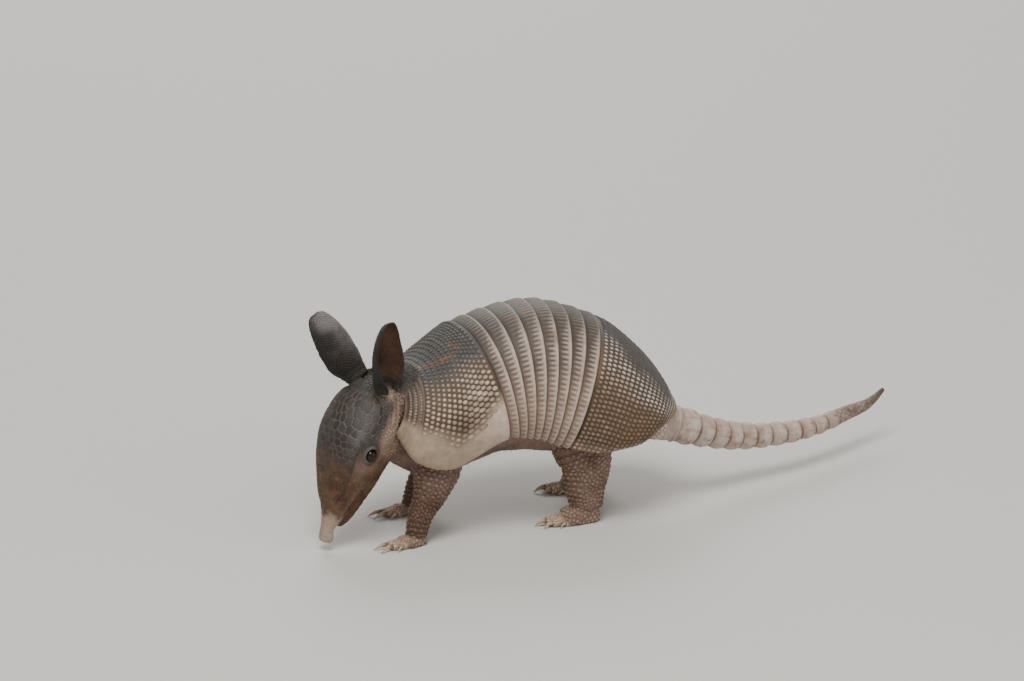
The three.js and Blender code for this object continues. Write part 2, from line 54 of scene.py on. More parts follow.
FULLNESS = 0.93  # power of the hoop's sine and cosine; 1 is an ellipse
# Hoops of the carapace: [place, top x, top z, lower edge x, lower edge z, half-width]
HOOPS = [
    [0.0, -71.5, 74, -81.5, 52, 21],
    [0.3, -58, 78.5, -73.5, 39.5, 28.5],
    [0.65, -47.5, 86, -56, 34.6, 32.5],
    [1.0, -36.5, 92.2, -25, 45.5, 34.5],
    [1.5, -4, 98.9, -10, 43.5, 36],
    [2.0, 27.5, 89.2, 5, 38.3, 37],
    [2.35, 46, 74.5, 24, 34.6, 36],
    [2.7, 59, 57.5, 43, 36, 29.5],
    [3.0, 64.5, 46, 52.5, 39.5, 17.5],
]
# [place, how far the belly hangs under the carapace's lower edge]
BELLY = [[0.0, 1], [0.3, 4], [0.65, 9], [1.0, 14], [1.5, 12], [2.0, 9], [2.5, 5], [3.0, 2]]
TRUNK_ROOM = 2.9  # the trunk's skin lies this far inside the shell's surface
BELLY_TUCK = 0.12  # share of its half-width that the trunk narrows by at the bottom

HEAD_PITCH = 68
HEAD_YAW = 20
NOSE_TIP = np.array([-106.8, -23.7, 4.0])
HEAD_LENGTH = 70.5
# Skull and jaw: [distance from the nape, centre's offset to dorsal, half-height, half-width]
SKULL = [
    [-7, -8, 8, 9],
    [0, -4.5, 12.8, 13.8],
    [10, -1.5, 15.2, 16.6],
    [20, 0, 15.7, 17.4],
    [30, 0.3, 14.4, 16.0],
    [38, 0.8, 11.8, 13.2],
    [46, 1.2, 8.7, 9.9],
    [54, 1.3, 5.9, 6.9],
    [60, 0.9, 4.2, 4.8],
    [65, 0.9, 3.2, 3.7],
    [68.6, 0, 3.5, 4.0],
    [70.5, 0, 2.5, 3.0],
]
JAW = [
    [8, -9.5, 7, 13.4],
    [18, -10.8, 7.8, 15.2],
    [28, -10, 6.8, 12.6],
    [38, -9.6, 6, 9.2],
    [48, -7.4, 5, 7.2],
    [56, -5.4, 4.2, 5.6],
    [60, -4.2, 3.2, 4.3],
    [62, -3.5, 1.8, 2.6],
]
SHIELD_OVER = 1.45  # how far the head shield's solid stands over the skull
EYE = {"s": 26.4, "angle": 80, "radius": 2.9, "sunk": 1.5}
MM_PER_DEGREE = 0.275  # round the head at the eye
# Ways and places of the ears: [along the head, to dorsal, away from the middle]
EAR = {"length": 35, "width": 9.2, "wall": 1.1, "base": (-6.5, 3.8, 8.4)}
EARS = {
    "left": {"side": 1, "points": (-0.8, 0.46, 0.38), "opens": (0, -0.3, 0.95)},
    "right": {"side": -1, "points": (-0.56, 0.617, 0.553), "opens": (0.3, -0.1, 1)},
}
# [share of the ear's length, half-width share, half-angle of its rolled section]
EAR_FORM = [
    [0.0, 0.54, 150],
    [0.14, 0.68, 130],
    [0.32, 0.92, 98],
    [0.52, 1.02, 74],
    [0.74, 0.9, 60],
    [0.9, 0.68, 52],
    [0.97, 0.48, 48],
    [1.0, 0.26, 45],
]
# Stations of [x, y, z, half-width, half-height]
NECK = [
    [-52, -5, 58, 21, 17],
    [-64, -7.5, 60.5, 20, 17],
    [-73, -11, 63.5, 16, 16.5],
    [-81, -14.5, 66.5, 11.5, 14.5],
]
LEGS = {
    "foreleg_left": [[-52, -15, 45, 12, 9], [-53.5, -20.5, 34, 12, 8.5], [-57, -24.5, 24, 8.6, 6.8],
                     [-63, -27, 13, 5.8, 5.2], [-65.5, -27.5, 3.5, 4.8, 5]],
    "foreleg_right": [[-49, 3, 45, 12, 9], [-47, 8.5, 34, 12, 8.5], [-46, 12, 24, 8.4, 6.8],
                      [-51, 14, 13, 5.8, 5.2], [-54, 14.5, 3.5, 4.8, 5]],
    "hindleg_left": [[18, -14, 47, 16, 9], [15.5, -19, 35.5, 14.5, 8.8], [16.8, -20.8, 26.5, 11.7, 7.8],
                     [16.2, -21.2, 17, 9.8, 6.8], [16.8, -21.2, 7, 7.4, 5.8]],
    "hindleg_right": [[24, 12, 47, 16, 9], [23, 16.5, 35.5, 14.5, 8.8], [25.5, 19.5, 26.5, 11.7, 7.8],
                      [29, 20.5, 17, 9.6, 6.8], [30.5, 21, 7, 7.4, 5.8]],
}
PALM = 3  # toes fan out from this far in front of the heel
TOE_HEIGHTS = (1.35, 0.8)  # of a toe's root and of its knuckle, in toe radii
# [heading offset, reach from the heel, toe radius, claw length]
FORE_TOES = [[-23, 11.5, 1.5, 4.2], [-7, 14.5, 1.9, 6.6], [8, 14.2, 1.9, 6.4], [25, 10.8, 1.5, 4.0]]
HIND_TOES = [[-24, 14.0, 1.5, 3.0], [-11, 17.5, 1.9, 4.2], [0, 19.0, 2.3, 5.0], [11, 17.5, 1.9, 4.2],
             [25, 13.0, 1.5, 3.0]]
FEET = {
    "forefoot_left": {"heel": (-64, -27.5), "heading": 16, "length": 11, "half": 5.6, "high": 6},
    "forefoot_right": {"heel": (-52.5, 14.5), "heading": 8, "length": 11, "half": 5.6, "high": 6},
    "hindfoot_left": {"heel": (18, -21), "heading": 3, "length": 15, "half": 6.4, "high": 10},
    "hindfoot_right": {"heel": (32, 20), "heading": -6, "length": 15, "half": 6.4, "high": 10},
}
# [x, y, z, radius]
TAIL = [
    [51, -5, 40.2, 10.0], [56, -5, 38.5, 9.0], [64.5, -5.5, 36, 8.0], [80.5, -2, 29.6, 6.5],
    [97, 4.5, 24, 5.8], [113, 9.8, 21, 5.1], [131.5, 17, 19.2, 4.4], [147, 25.5, 18.6, 3.7],
    [160, 34, 18.9, 3.2], [170, 40.5, 18.9, 2.6], [177, 45.2, 20.2, 1.8], [184, 50.8, 22.7, 0.9],
]
TAIL_RINGS = 11
RING_START = 14  # distance from the tail's first station
RING_LENGTH = 8.9

COAT = 0.3  # the skin lies this far inside its solids, under the scales
VOXEL = 0.55  # grain of the skin's mesh
PATCH = 0.003  # a scale's own place on the bake map

# ---------------------------------------------------------------- colours, 0-255 as seen on a screen
COLOURS = {
    "slate": (84, 83, 82),
    "umber": (84, 66, 51),
    "earth": (110, 90, 69),
    "scute": (186, 168, 151),
    "cream": (172, 153, 130),
    "rust": (142, 98, 68),
    "rose": (148, 118, 106),
    "bone": (184, 172, 162),
    "tan": (108, 82, 55),
    "ash": (56, 53, 49),
    "olive": (48, 45, 38),
    "lavender": (96, 92, 92),
    "pink": (160, 141, 126),
    "shell_pink": (184, 166, 154),
    "taupe": (86, 75, 67),
    "clay": (130, 110, 97),
    "liver": (74, 47, 33),
    "coal": (26, 23, 21),
    "dusk": (42, 38, 36),
}


def linear(name):
    """A named colour in linear light."""
    c = np.array(COLOURS[name]) / 255
    return np.where(c < 0.04045, c / 12.92, ((c + 0.055) / 1.055) ** 2.4)


# ---------------------------------------------------------------- small maths
def at(table, t):
    """Columns of a table at keys t: a cubic through the rows that never overshoots a turn."""
    table = np.asarray(table, float)
    keys = table[:, 0]
    columns = table[:, 1:]
    slopes = np.diff(columns, axis=0) / np.diff(keys)[:, None]
    product = slopes[:-1] * slopes[1:]
    inner = np.where(product > 0, 2 * product / np.where(product > 0, slopes[:-1] + slopes[1:], 1), 0)
    tangents = np.vstack([slopes[:1], inner, slopes[-1:]])
    t = np.asarray(t, float)
    i = np.clip(np.searchsorted(keys, t, side="right") - 1, 0, len(keys) - 2)
    width = (keys[i + 1] - keys[i])[..., None]
    f = np.clip((t - keys[i])[..., None] / width, 0, 1)
    return (columns[i] * (1 + 2 * f) * (1 - f) ** 2 + columns[i + 1] * f * f * (3 - 2 * f)
            + tangents[i] * width * f * (1 - f) ** 2 - tangents[i + 1] * width * f * f * (1 - f))


def step(low, high, x):
    """Smooth ramp from 0 at low to 1 at high."""
    f = np.clip((x - low) / (high - low), 0, 1)
    return f * f * (3 - 2 * f)


def hump(x, middle, reach):
    """A bell that is 1 at its middle and about a third at its reach."""
    return np.exp(-(((x - middle) / reach) ** 2))


def mottle(points, size, seed):
    """Smooth random field from -1 to 1 whose blobs are about size across."""
    table = np.random.default_rng(seed).uniform(-1, 1, (32, 32, 32))
    q = points / size
    cell = np.floor(q).astype(int)
    f = q - cell
    f = f * f * (3 - 2 * f)
    total = 0
    for corner in itertools.product((0, 1), repeat=3):
        weight = np.prod(np.where(corner, f, 1 - f), axis=-1)
        total = total + weight * table[tuple(np.moveaxis((cell + corner) % 32, -1, 0))]
    return total


def grains(points, coarse, fine, seed, share=0.5):
    """A coarse mottle with a share of a fine one over it."""
    return mottle(points, coarse, seed) + share * mottle(points, fine, seed + 1)


def blend(base, other, share):
    """A colour with another over it; share is how much of it the other covers."""
    return base + (other - base) * np.asarray(share)[..., None]


def coats(colour, *layers):
    """A colour under layers of (a colour's name, how light it is, how much it covers)."""
    for name, light, share in layers:
        colour = blend(colour, linear(name) * light, share)
    return colour


def unit(a):
    return a / np.linalg.norm(a, axis=-1, keepdims=True)


def distances(points):
    """How far along a line of points each of them lies."""
    return np.concatenate([[0], np.cumsum(np.linalg.norm(np.diff(points, axis=0), axis=-1))])


def in_metres(points):
    """Points of the body's frame, put into the part's frame."""
    return (points - ORIGIN) * MM


# ---------------------------------------------------------------- meshes
def grid_faces(rows, columns, closed=False):
    r, c = np.meshgrid(np.arange(rows - 1), np.arange(columns if closed else columns - 1), indexing="ij")
    after = (c + 1) % columns
    corners = [r * columns + c, r * columns + after, (r + 1) * columns + after, (r + 1) * columns + c]
    return np.stack(corners, -1).reshape(-1, 4)


def tube_mesh(points):
    """Points and faces of a closed tube from rows of loops, with a fan at both ends."""
    rows, columns = points.shape[:2]
    faces = grid_faces(rows, columns, closed=True).tolist()
    flat = points.reshape(-1, 3)
    for row in (0, rows - 1):
        centre = len(flat)
        flat = np.vstack([flat, points[row].mean(0)])
        loop = row * columns + np.arange(columns)
        faces += [[centre, int(a), int(b)] for a, b in zip(loop, np.roll(loop, -1))]
    return flat, faces


def sheet_mesh(outer, inner):
    """Points and faces of a closed plate between two grids of the same size."""
    rows, columns = outer.shape[:2]
    half = rows * columns
    faces = grid_faces(rows, columns)
    index = np.arange(half).reshape(rows, columns)
    rim = np.concatenate([index[0, :-1], index[:-1, -1], index[-1, :0:-1], index[:0:-1, 0]])
    after = np.roll(rim, -1)
    walls = np.stack([rim, after, after + half, rim + half], -1)
    points = np.vstack([outer.reshape(-1, 3), inner.reshape(-1, 3)])
    return points, np.vstack([faces, faces + half, walls]).tolist()


def in_scene(name, data):
    made = bpy.data.objects.new(name, data)
    bpy.context.scene.collection.objects.link(made)
    return made


def new_object(name, points, faces, material):
    """A smooth object whose mesh lies in the part's frame, with its faces pointing outwards."""
    mesh = bpy.data.meshes.new(name)
    mesh.from_pydata(in_metres(points).tolist(), [], faces)
    shape = bmesh.new()
    shape.from_mesh(mesh)
    bmesh.ops.recalc_face_normals(shape, faces=shape.faces)
    shape.to_mesh(mesh)
    shape.free()
    mesh.polygons.foreach_set("use_smooth", [True] * len(mesh.polygons))
    mesh.materials.append(material)
    return in_scene(name, mesh)


FIELDS = {"FLOAT": "value", "FLOAT_VECTOR": "vector", "FLOAT_COLOR": "color"}


def put(made, name, kind, values):
    """Store values on the points of an object's mesh."""
    layer = made.data.attributes.new(name, kind, "POINT")
    layer.data.foreach_set(FIELDS[kind], np.asarray(values, np.float32).ravel())


def tinted(made, colours):
    """Store a colour on each point of an object's mesh."""
    colours = np.asarray(colours).reshape(-1, 3)
    put(made, "tint", "FLOAT_COLOR", np.hstack([np.clip(colours, 0, 1), np.ones((len(colours), 1))]))


def new_sheet(name, outer, inner, colour, material):
    """A closed plate with the same colours on both sides."""
    made = new_object(name, *sheet_mesh(outer, inner), material)
    tinted(made, np.vstack([colour.reshape(-1, 3)] * 2))
    return made


def new_tube(name, points, colour, ends, material):
    """A closed tube with a colour for the middle of each end."""
    made = new_object(name, *tube_mesh(points), material)
    tinted(made, np.vstack([colour.reshape(-1, 3), ends]))
    return made


def finish(made, slot, *nodes):
    """Hang a piece on the body and hide the nodes that it replaces; its slot is not used."""
    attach(made, "root")
    if nodes:
        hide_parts(*nodes)


# ---------------------------------------------------------------- node groups and materials
def add_node(tree, kind, values=None, **settings):
    """A node with its settings and what goes into it."""
    made = tree.nodes.new(kind)
    for key, value in settings.items():
        setattr(made, key, value)
    feed(tree, made.inputs, values or {})
    return made


def socket(sockets, label):
    """A socket by its number, or the one in use with that name."""
    if isinstance(label, int):
        return sockets[label]
    return next(s for s in sockets if s.enabled and s.name == label)


def feed(tree, inputs, values):
    """Give inputs, by name or number, a value or the socket that feeds them."""
    for label, value in values.items():
        into = socket(inputs, label)
        if isinstance(value, bpy.types.NodeSocket):
            tree.links.new(value, into)
        else:
            into.default_value = value


def new_group(name, kind, inputs, outputs):
    """A node group, the sockets of its inputs and those of its outputs."""
    tree = bpy.data.node_groups.new(name, kind)
    for label, form, default in inputs:
        made = tree.interface.new_socket(label, in_out="INPUT", socket_type=f"NodeSocket{form}")
        if default is not None:
            made.default_value = default
    for label, form in outputs:
        tree.interface.new_socket(label, in_out="OUTPUT", socket_type=f"NodeSocket{form}")
    return tree, tree.nodes.new("NodeGroupInput").outputs, tree.nodes.new("NodeGroupOutput").inputs


def maths(tree, operation, a, b):
    """What a Math node gives; a and b are sockets or numbers."""
    return add_node(tree, "ShaderNodeMath", {0: a, 1: b}, operation=operation).outputs[0]


def scaled(tree, vector, factor):
    """A vector or a colour times a factor."""
    return add_node(tree, "ShaderNodeVectorMath", {0: vector, "Scale": factor}, operation="SCALE").outputs[0]


def sized(tree, vector, size):
    """Object coordinates counted in steps of size, in millimetres."""
    return scaled(tree, vector, maths(tree, "DIVIDE", 1 / MM, size))


def relief_group():
    """Pebbled skin over fine grain: a height from 0 to 1."""
    tree, given, out = new_group(
        "pebbled_relief", "ShaderNodeTree",
        [("Vector", "Vector", None), ("Size", "Float", 1.0), ("Pebbles", "Float", 0.5)],
        [("Height", "Float")],
    )
    where = sized(tree, given["Vector"], given["Size"])
    pebble = add_node(tree, "ShaderNodeTexVoronoi", {"Scale": 1, "Vector": where}, feature="F1")
    grain = add_node(tree, "ShaderNodeTexNoise", {"Scale": 1.7, "Detail": 5, "Vector": where})
    dome = maths(tree, "SUBTRACT", 1, maths(tree, "POWER", pebble.outputs["Distance"], 2))
    mixed = {"Factor": given["Pebbles"], "A": grain.outputs[0], "B": dome}
    both = add_node(tree, "ShaderNodeMix", mixed, data_type="FLOAT")
    feed(tree, out, {"Height": socket(both.outputs, "Result")})
    return tree


def wear_group():
    """Mottles a colour, rubs soil into it in patches and gives a roughness that changes with it."""
    tree, given, out = new_group(
        "mottle_and_soil", "ShaderNodeTree",
        [("Color", "Color", None), ("Vector", "Vector", None), ("Size", "Float", 3.0),
         ("Mottle", "Float", 0.2), ("Soil", "Float", 0.2), ("Roughness", "Float", 0.6)],
        [("Color", "Color"), ("Roughness", "Float")],
    )
    where = sized(tree, given["Vector"], given["Size"])
    cloudy = {"Scale": 1, "Detail": 6, "Roughness": 0.65, "Vector": where}
    cloud = add_node(tree, "ShaderNodeTexNoise", cloudy)
    patches = add_node(tree, "ShaderNodeTexNoise", {"Scale": 0.31, "Detail": 3, "Vector": where})
    swing = maths(tree, "MULTIPLY", maths(tree, "SUBTRACT", cloud.outputs[0], 0.5), given["Mottle"])
    light = maths(tree, "ADD", 1, maths(tree, "MULTIPLY", swing, 3))
    shaded = scaled(tree, given["Color"], light)
    span = {"Value": patches.outputs[0], "From Min": 0.5, "From Max": 0.72}
    ramp = add_node(tree, "ShaderNodeMapRange", span, interpolation_type="SMOOTHSTEP")
    share = maths(tree, "MULTIPLY", ramp.outputs[0], given["Soil"])
    mixed = {"Factor": share, "A": shaded, "B": (*(linear("tan") * 0.75), 1)}
    soil = add_node(tree, "ShaderNodeMix", mixed, data_type="RGBA")
    dull = maths(tree, "ADD", given["Roughness"], maths(tree, "MULTIPLY", swing, -0.8))
    feed(tree, out, {"Color": socket(soil.outputs, "Result"), "Roughness": dull})
    return tree


def new_material(name):
    """A material with its tree, its shader, its object coordinates and the piece's tint."""
    material = bpy.data.materials.new(name)
    material.use_nodes = True
    tree = material.node_tree
    where = add_node(tree, "ShaderNodeTexCoord").outputs["Object"]
    tint = add_node(tree, "ShaderNodeAttribute", attribute_name="tint").outputs["Color"]
    return material, tree, tree.nodes["Principled BSDF"], where, tint


SPECULAR = 0.4


RELIEF = relief_group()
WEAR = wear_group()


def hide_material(name, roughness, size, mottle_share, soil, relief_size, pebbles, depth, shaded_rim=1.0):
    """A finish that takes its main colour from the piece's tint and adds mottle, soil and fine relief.

    Sizes and the relief's depth are in millimetres. The last argument is how light a stud's rim is beside its
    crown: painted shade that darkens each stud towards its base.
    """
    material, tree, shader, where, colour = new_material(name)
    worn = {"Size": size, "Mottle": mottle_share, "Soil": soil, "Roughness": roughness, "Vector": where}
    # painted shade: a stud's colour darkens from its crown down to its rim
    if shaded_rim < 1:
        crown = add_node(tree, "ShaderNodeAttribute", attribute_name="crown").outputs["Fac"]
        colour = scaled(tree, colour, maths(tree, "ADD", shaded_rim, maths(tree, "MULTIPLY", crown, 1 - shaded_rim)))
    wear = add_node(tree, "ShaderNodeGroup", {**worn, "Color": colour}, node_tree=WEAR)
    pebbled = {"Size": relief_size, "Pebbles": pebbles, "Vector": where}
    relief = add_node(tree, "ShaderNodeGroup", pebbled, node_tree=RELIEF)
    raised = {"Strength": 1, "Distance": depth * MM, "Height": relief.outputs["Height"]}
    bump = add_node(tree, "ShaderNodeBump", raised)
    feed(tree, shader.inputs, {
        "Base Color": wear.outputs["Color"],
        "Roughness": wear.outputs["Roughness"],
        "Normal": bump.outputs["Normal"],
        "Specular IOR Level": SPECULAR,
    })
    return material


# roughness, mottle's size, mottle, soil, relief's size, pebbles' share of it, relief's depth
SHELL_FINISH = hide_material("shell_ground", 0.6, 3.2, 0.26, 0.3, 0.9, 0.35, 0.12)
SCUTE_FINISH = hide_material("shell_scutes", 0.5, 2.4, 0.2, 0.4, 0.5, 0.2, 0.05, shaded_rim=0.42)
BAND_FINISH = hide_material("shell_bands", 0.55, 2.6, 0.22, 0.3, 0.6, 0.25, 0.07)
PLATE_FINISH = hide_material("head_plate", 0.56, 2.2, 0.22, 0.12, 0.7, 0.3, 0.07)
SKIN_FINISH = hide_material("hide", 0.7, 2.6, 0.24, 0.16, 1.0, 0.65, 0.16)
SCALE_FINISH = hide_material("hide_scales", 0.56, 2.0, 0.2, 0.2, 0.5, 0.2, 0.04, shaded_rim=0.55)
TAIL_FINISH = hide_material("tail_rings", 0.55, 2.4, 0.2, 0.2, 0.6, 0.3, 0.07)
CLAW_FINISH = hide_material("horn", 0.38, 1.6, 0.2, 0.25, 0.35, 0.0, 0.04)
HAIR_FINISH = hide_material("hair", 0.6, 2.0, 0.1, 0.0, 0.4, 0.0, 0.01)


def eye_material():
    """Wet and dark, with a roughness that wanders a little."""
    material, tree, shader, where, colour = new_material("wet_eye")
    fine = {"Size": 1.2, "Pebbles": 0, "Vector": where}
    relief = add_node(tree, "ShaderNodeGroup", fine, node_tree=RELIEF)
    feed(tree, shader.inputs, {
        "Base Color": colour,
        "Roughness": maths(tree, "MULTIPLY", relief.outputs["Height"], 0.14),
        "Specular IOR Level": 0.2,
        "Coat Weight": 0.22,
        "Coat Roughness": 0.03,
    })
    return material


EYE_FINISH = eye_material()


# ---------------------------------------------------------------- repeated shapes, by Geometry Nodes
def named(tree, label, kind):
    """An attribute of the geometry."""
    made = add_node(tree, "GeometryNodeInputNamedAttribute", {"Name": label}, data_type=kind)
    return socket(made.outputs, "Attribute")


def place_on_bake_map(tree, geometry):
    """Give each realized copy its own small patch of the bake map, at its root's place."""
    spread = scaled(tree, named(tree, "flat", "FLOAT_VECTOR"), PATCH)
    root = named(tree, "root", "FLOAT_VECTOR")
    total = add_node(tree, "ShaderNodeVectorMath", {0: root, 1: spread}, operation="ADD").outputs[0]
    stored = {"Name": "OFBake", "Geometry": geometry, "Value": total}
    kind = "GeometryNodeStoreNamedAttribute"
    return add_node(tree, kind, stored, data_type="FLOAT2", domain="CORNER").outputs[0]


def studs_tree():
    """One shape on every point, turned to the point's normal and lie, and sized by the point."""
    tree, given, out = new_group(
        "studs_on_points", "GeometryNodeTree",
        [("Geometry", "Geometry", None), ("Shape", "Object", None), ("Finish", "Material", None),
         ("Size Jitter", "Float", 0.1), ("Tone Jitter", "Float", 0.1), ("Seed", "Int", 1)],
        [("Geometry", "Geometry")],
    )

    def jitter(amount, salt):
        drawn = add_node(tree, "FunctionNodeRandomValue", {
            "Min": maths(tree, "SUBTRACT", 1, given[amount]),
            "Max": maths(tree, "ADD", 1, given[amount]),
            "Seed": maths(tree, "ADD", given["Seed"], salt),
        }, data_type="FLOAT")
        return socket(drawn.outputs, "Value")

    shape = add_node(tree, "GeometryNodeObjectInfo", {0: given["Shape"]}).outputs["Geometry"]
    axes = {0: named(tree, "stand", "FLOAT_VECTOR"), 1: named(tree, "lie", "FLOAT_VECTOR")}
    turn = add_node(tree, "FunctionNodeAxesToRotation", axes, primary_axis="Z", secondary_axis="X")
    tint = scaled(tree, named(tree, "tint", "FLOAT_COLOR"), jitter("Tone Jitter", 7))
    stored = {"Name": "tint", "Geometry": given["Geometry"], "Value": tint}
    kind = "GeometryNodeStoreNamedAttribute"
    tone = add_node(tree, kind, stored, data_type="FLOAT_COLOR", domain="POINT")
    copies = add_node(tree, "GeometryNodeInstanceOnPoints", {
        "Points": tone.outputs[0],
        "Instance": shape,
        "Rotation": turn.outputs[0],
        "Scale": scaled(tree, named(tree, "size", "FLOAT_VECTOR"), jitter("Size Jitter", 3)),
    })
    real = add_node(tree, "GeometryNodeRealizeInstances", {0: copies.outputs[0]})
    mapped = place_on_bake_map(tree, real.outputs[0])
    done = add_node(tree, "GeometryNodeSetMaterial", {"Geometry": mapped, "Material": given["Finish"]})
    feed(tree, out, {0: done.outputs[0]})
    return tree


STUDS = studs_tree()


def set_input(modifier, label, value):
    items = modifier.node_group.interface.items_tree
    item = next(i for i in items if i.name == label and i.in_out == "INPUT")
    modifier[item.identifier] = value


def stud_shape(name, rings, sides, tall=False):
    """A closed shape of unit width; rings are [share of radius, height] and the last one is its tip.

    On its patch of the bake map a tall one is seen from the side, and another one from above.
    """
    points = [[0, 0, rings[-1][1]]]
    starts = []
    for radius, height in rings[:-1]:
        starts.append(len(points))
        for k in range(sides):
            angle = 2 * math.pi * k / sides
            points.append([0.5 * radius * math.cos(angle), 0.5 * radius * math.sin(angle), height])
    steps = [(k, (k + 1) % sides) for k in range(sides)]
    faces = [list(range(starts[0], starts[0] + sides))[::-1]]
    for low, high in zip(starts, starts[1:]):
        faces += [[low + k, low + after, high + after, high + k] for k, after in steps]
    faces += [[0, starts[-1] + k, starts[-1] + after] for k, after in steps]
    mesh = bpy.data.meshes.new(name)
    mesh.from_pydata(points, [], faces)
    mesh.polygons.foreach_set("use_smooth", [True] * len(faces))
    made = in_scene(name, mesh)
    put(made, "flat", "FLOAT_VECTOR", [[x, z - 0.5 if tall else y, 0] for x, y, z in points])
    # crown: how high each point stands, which sets the painted shade on a stud's sides
    put(made, "crown", "FLOAT", [max(0, z) ** 2.2 for _, _, z in points])
    return made


DOME = stud_shape("dome", [[1.0, -0.3], [0.96, 0.3], [0.72, 0.78], [0.36, 0.97], [0, 1.0]], 10)
PEBBLE = stud_shape("pebble", [[1.0, -0.3], [0.9, 0.45], [0.5, 0.93], [0, 1.0]], 7)
HAIR = stud_shape("hair_shape", [[1 - k / 4, k / 4] for k in range(5)], 3, tall=True)


def studs(name, spots, shape, material, size_jitter, tone_jitter, seed):
    """Copies of a shape on spots, a dict of arrays in millimetres: at, stand, lie, size, tint and root."""
    mesh = bpy.data.meshes.new(name)
    mesh.from_pydata(in_metres(spots["at"]).tolist(), [], [])
    made = in_scene(name, mesh)
    tinted(made, spots["tint"])
    put(made, "stand", "FLOAT_VECTOR", spots["stand"])
    put(made, "lie", "FLOAT_VECTOR", spots["lie"])
    put(made, "size", "FLOAT_VECTOR", spots["size"] * MM)
    put(made, "root", "FLOAT_VECTOR", np.hstack([spots["root"], np.zeros((len(spots["root"]), 1))]))
    modifier = made.modifiers.new("studs", "NODES")
    modifier.node_group = STUDS
    settings = {"Shape": shape, "Finish": material, "Size Jitter": size_jitter, "Tone Jitter": tone_jitter,
                "Seed": seed}
    for label, value in settings.items():
        set_input(modifier, label, value)
    bake(made)
    made.data.name = name
    return made


def picked(arrays, which):
    """The same points of every array in a dict."""
    return {key: value[which] for key, value in arrays.items()}


# ---------------------------------------------------------------- the carapace's surface
def bent(x, y, z):
    """A point of the straight body, bent along the spine's arc."""
    turn = x / SPINE_RADIUS
    across = SPINE_RADIUS + y
    return np.stack([across * np.sin(turn), across * np.cos(turn) - SPINE_RADIUS, z], -1)


def hoop_curve(q, height, half):
    """Half of a hoop as [across, up]: q is 0 on the back and 1 on the lower edge."""
    angle = np.clip(q / UPPER_SHARE, 0, 1) * math.pi / 2
    down = np.clip((q - UPPER_SHARE) / (1 - UPPER_SHARE), 0, 1)
    above = q < UPPER_SHARE
    across = np.where(above, np.sin(angle) ** FULLNESS, 1 - TUCK * down * down)
    arc = WIDEST_AT + (1 - WIDEST_AT) * np.maximum(np.cos(angle), 0) ** FULLNESS
    return half * across, height * np.where(above, arc, WIDEST_AT * (1 - down))


def shell_point(place, v, out=0.0):
    """A point of the carapace: place runs along it, v is -1 on the left edge and 1 on the right."""
    place, v, out = np.broadcast_arrays(np.asarray(place, float), v, out)
    tx, tz, bx, bz, half = np.moveaxis(at(HOOPS, place), -1, 0)
    height = np.hypot(tx - bx, tz - bz)
    q = np.abs(v)
    across, up = hoop_curve(q, height, half)
    nudge = 1e-3
    y0, z0 = hoop_curve(np.maximum(0, q - nudge), height, half)
    y1, z1 = hoop_curve(np.minimum(1, q + nudge), height, half)
    run = np.hypot(y1 - y0, z1 - z0)
    y = across - (z1 - z0) / run * out
    share = (up + (y1 - y0) / run * out) / height
    return bent(bx + (tx - bx) * share, np.where(v < 0, -1, 1) * y, bz + (tz - bz) * share)


def shell_frame(place, v, out=0.0):
    """Point, outward normal and rearward direction."""
    nudge = 2e-3
    here = shell_point(place, v, out)
    rear = shell_point(place + nudge, v, out) - shell_point(place - nudge, v, out)
    side = shell_point(place, v + nudge, out) - shell_point(place, v - nudge, out)
    return here, unit(np.cross(rear, side)), unit(rear)


def around(place, spacing, shift, reach=0.97):
    """Values of v that stand spacing apart along the hoop at a place."""
    v = np.linspace(-reach, reach, 600)
    run = distances(shell_point(place, v))
    middle = run[-1] / 2
    count = int((middle - 0.4 * spacing) // spacing) + 1
    marks = middle + spacing * (np.arange(-count, count + 1) + shift)
    return np.interp(marks[(marks > 0) & (marks < run[-1])], run, v)


def along(v, start, stop, spacing):
    """Places that stand spacing apart along the shell at v."""
    place = np.linspace(start, stop, 300)
    run = distances(shell_point(place, v))
    return np.interp(np.arange(0, run[-1], spacing), run, place)


# ---------------------------------------------------------------- carapace: plates
COLLAR_ROWS = 5  # tight rows along the shoulder shield's front edge
COLLAR = 0.22  # share of the shield that they take
# (place, share down the side)
SOIL_STREAK = [(0.18, 0.07), (0.38, 0.14), (0.65, 0.215), (0.76, 0.16), (0.7, 0.1)]


def streak(place, q, width):
    """Nearness to the streak of soil on the left shoulder, 1 on its line."""
    near = np.full(place.shape, 9.0)
    for (p0, q0), (p1, q1) in zip(SOIL_STREAK, SOIL_STREAK[1:]):
        squared = (p1 - p0) ** 2 + (q1 - q0) ** 2
        f = np.clip(((place - p0) * (p1 - p0) + (q - q0) * (q1 - q0)) / squared, 0, 1)
        near = np.minimum(near, np.hypot(place - p0 - f * (p1 - p0), q - q0 - f * (q1 - q0)))
    return np.exp(-((near / width) ** 2))


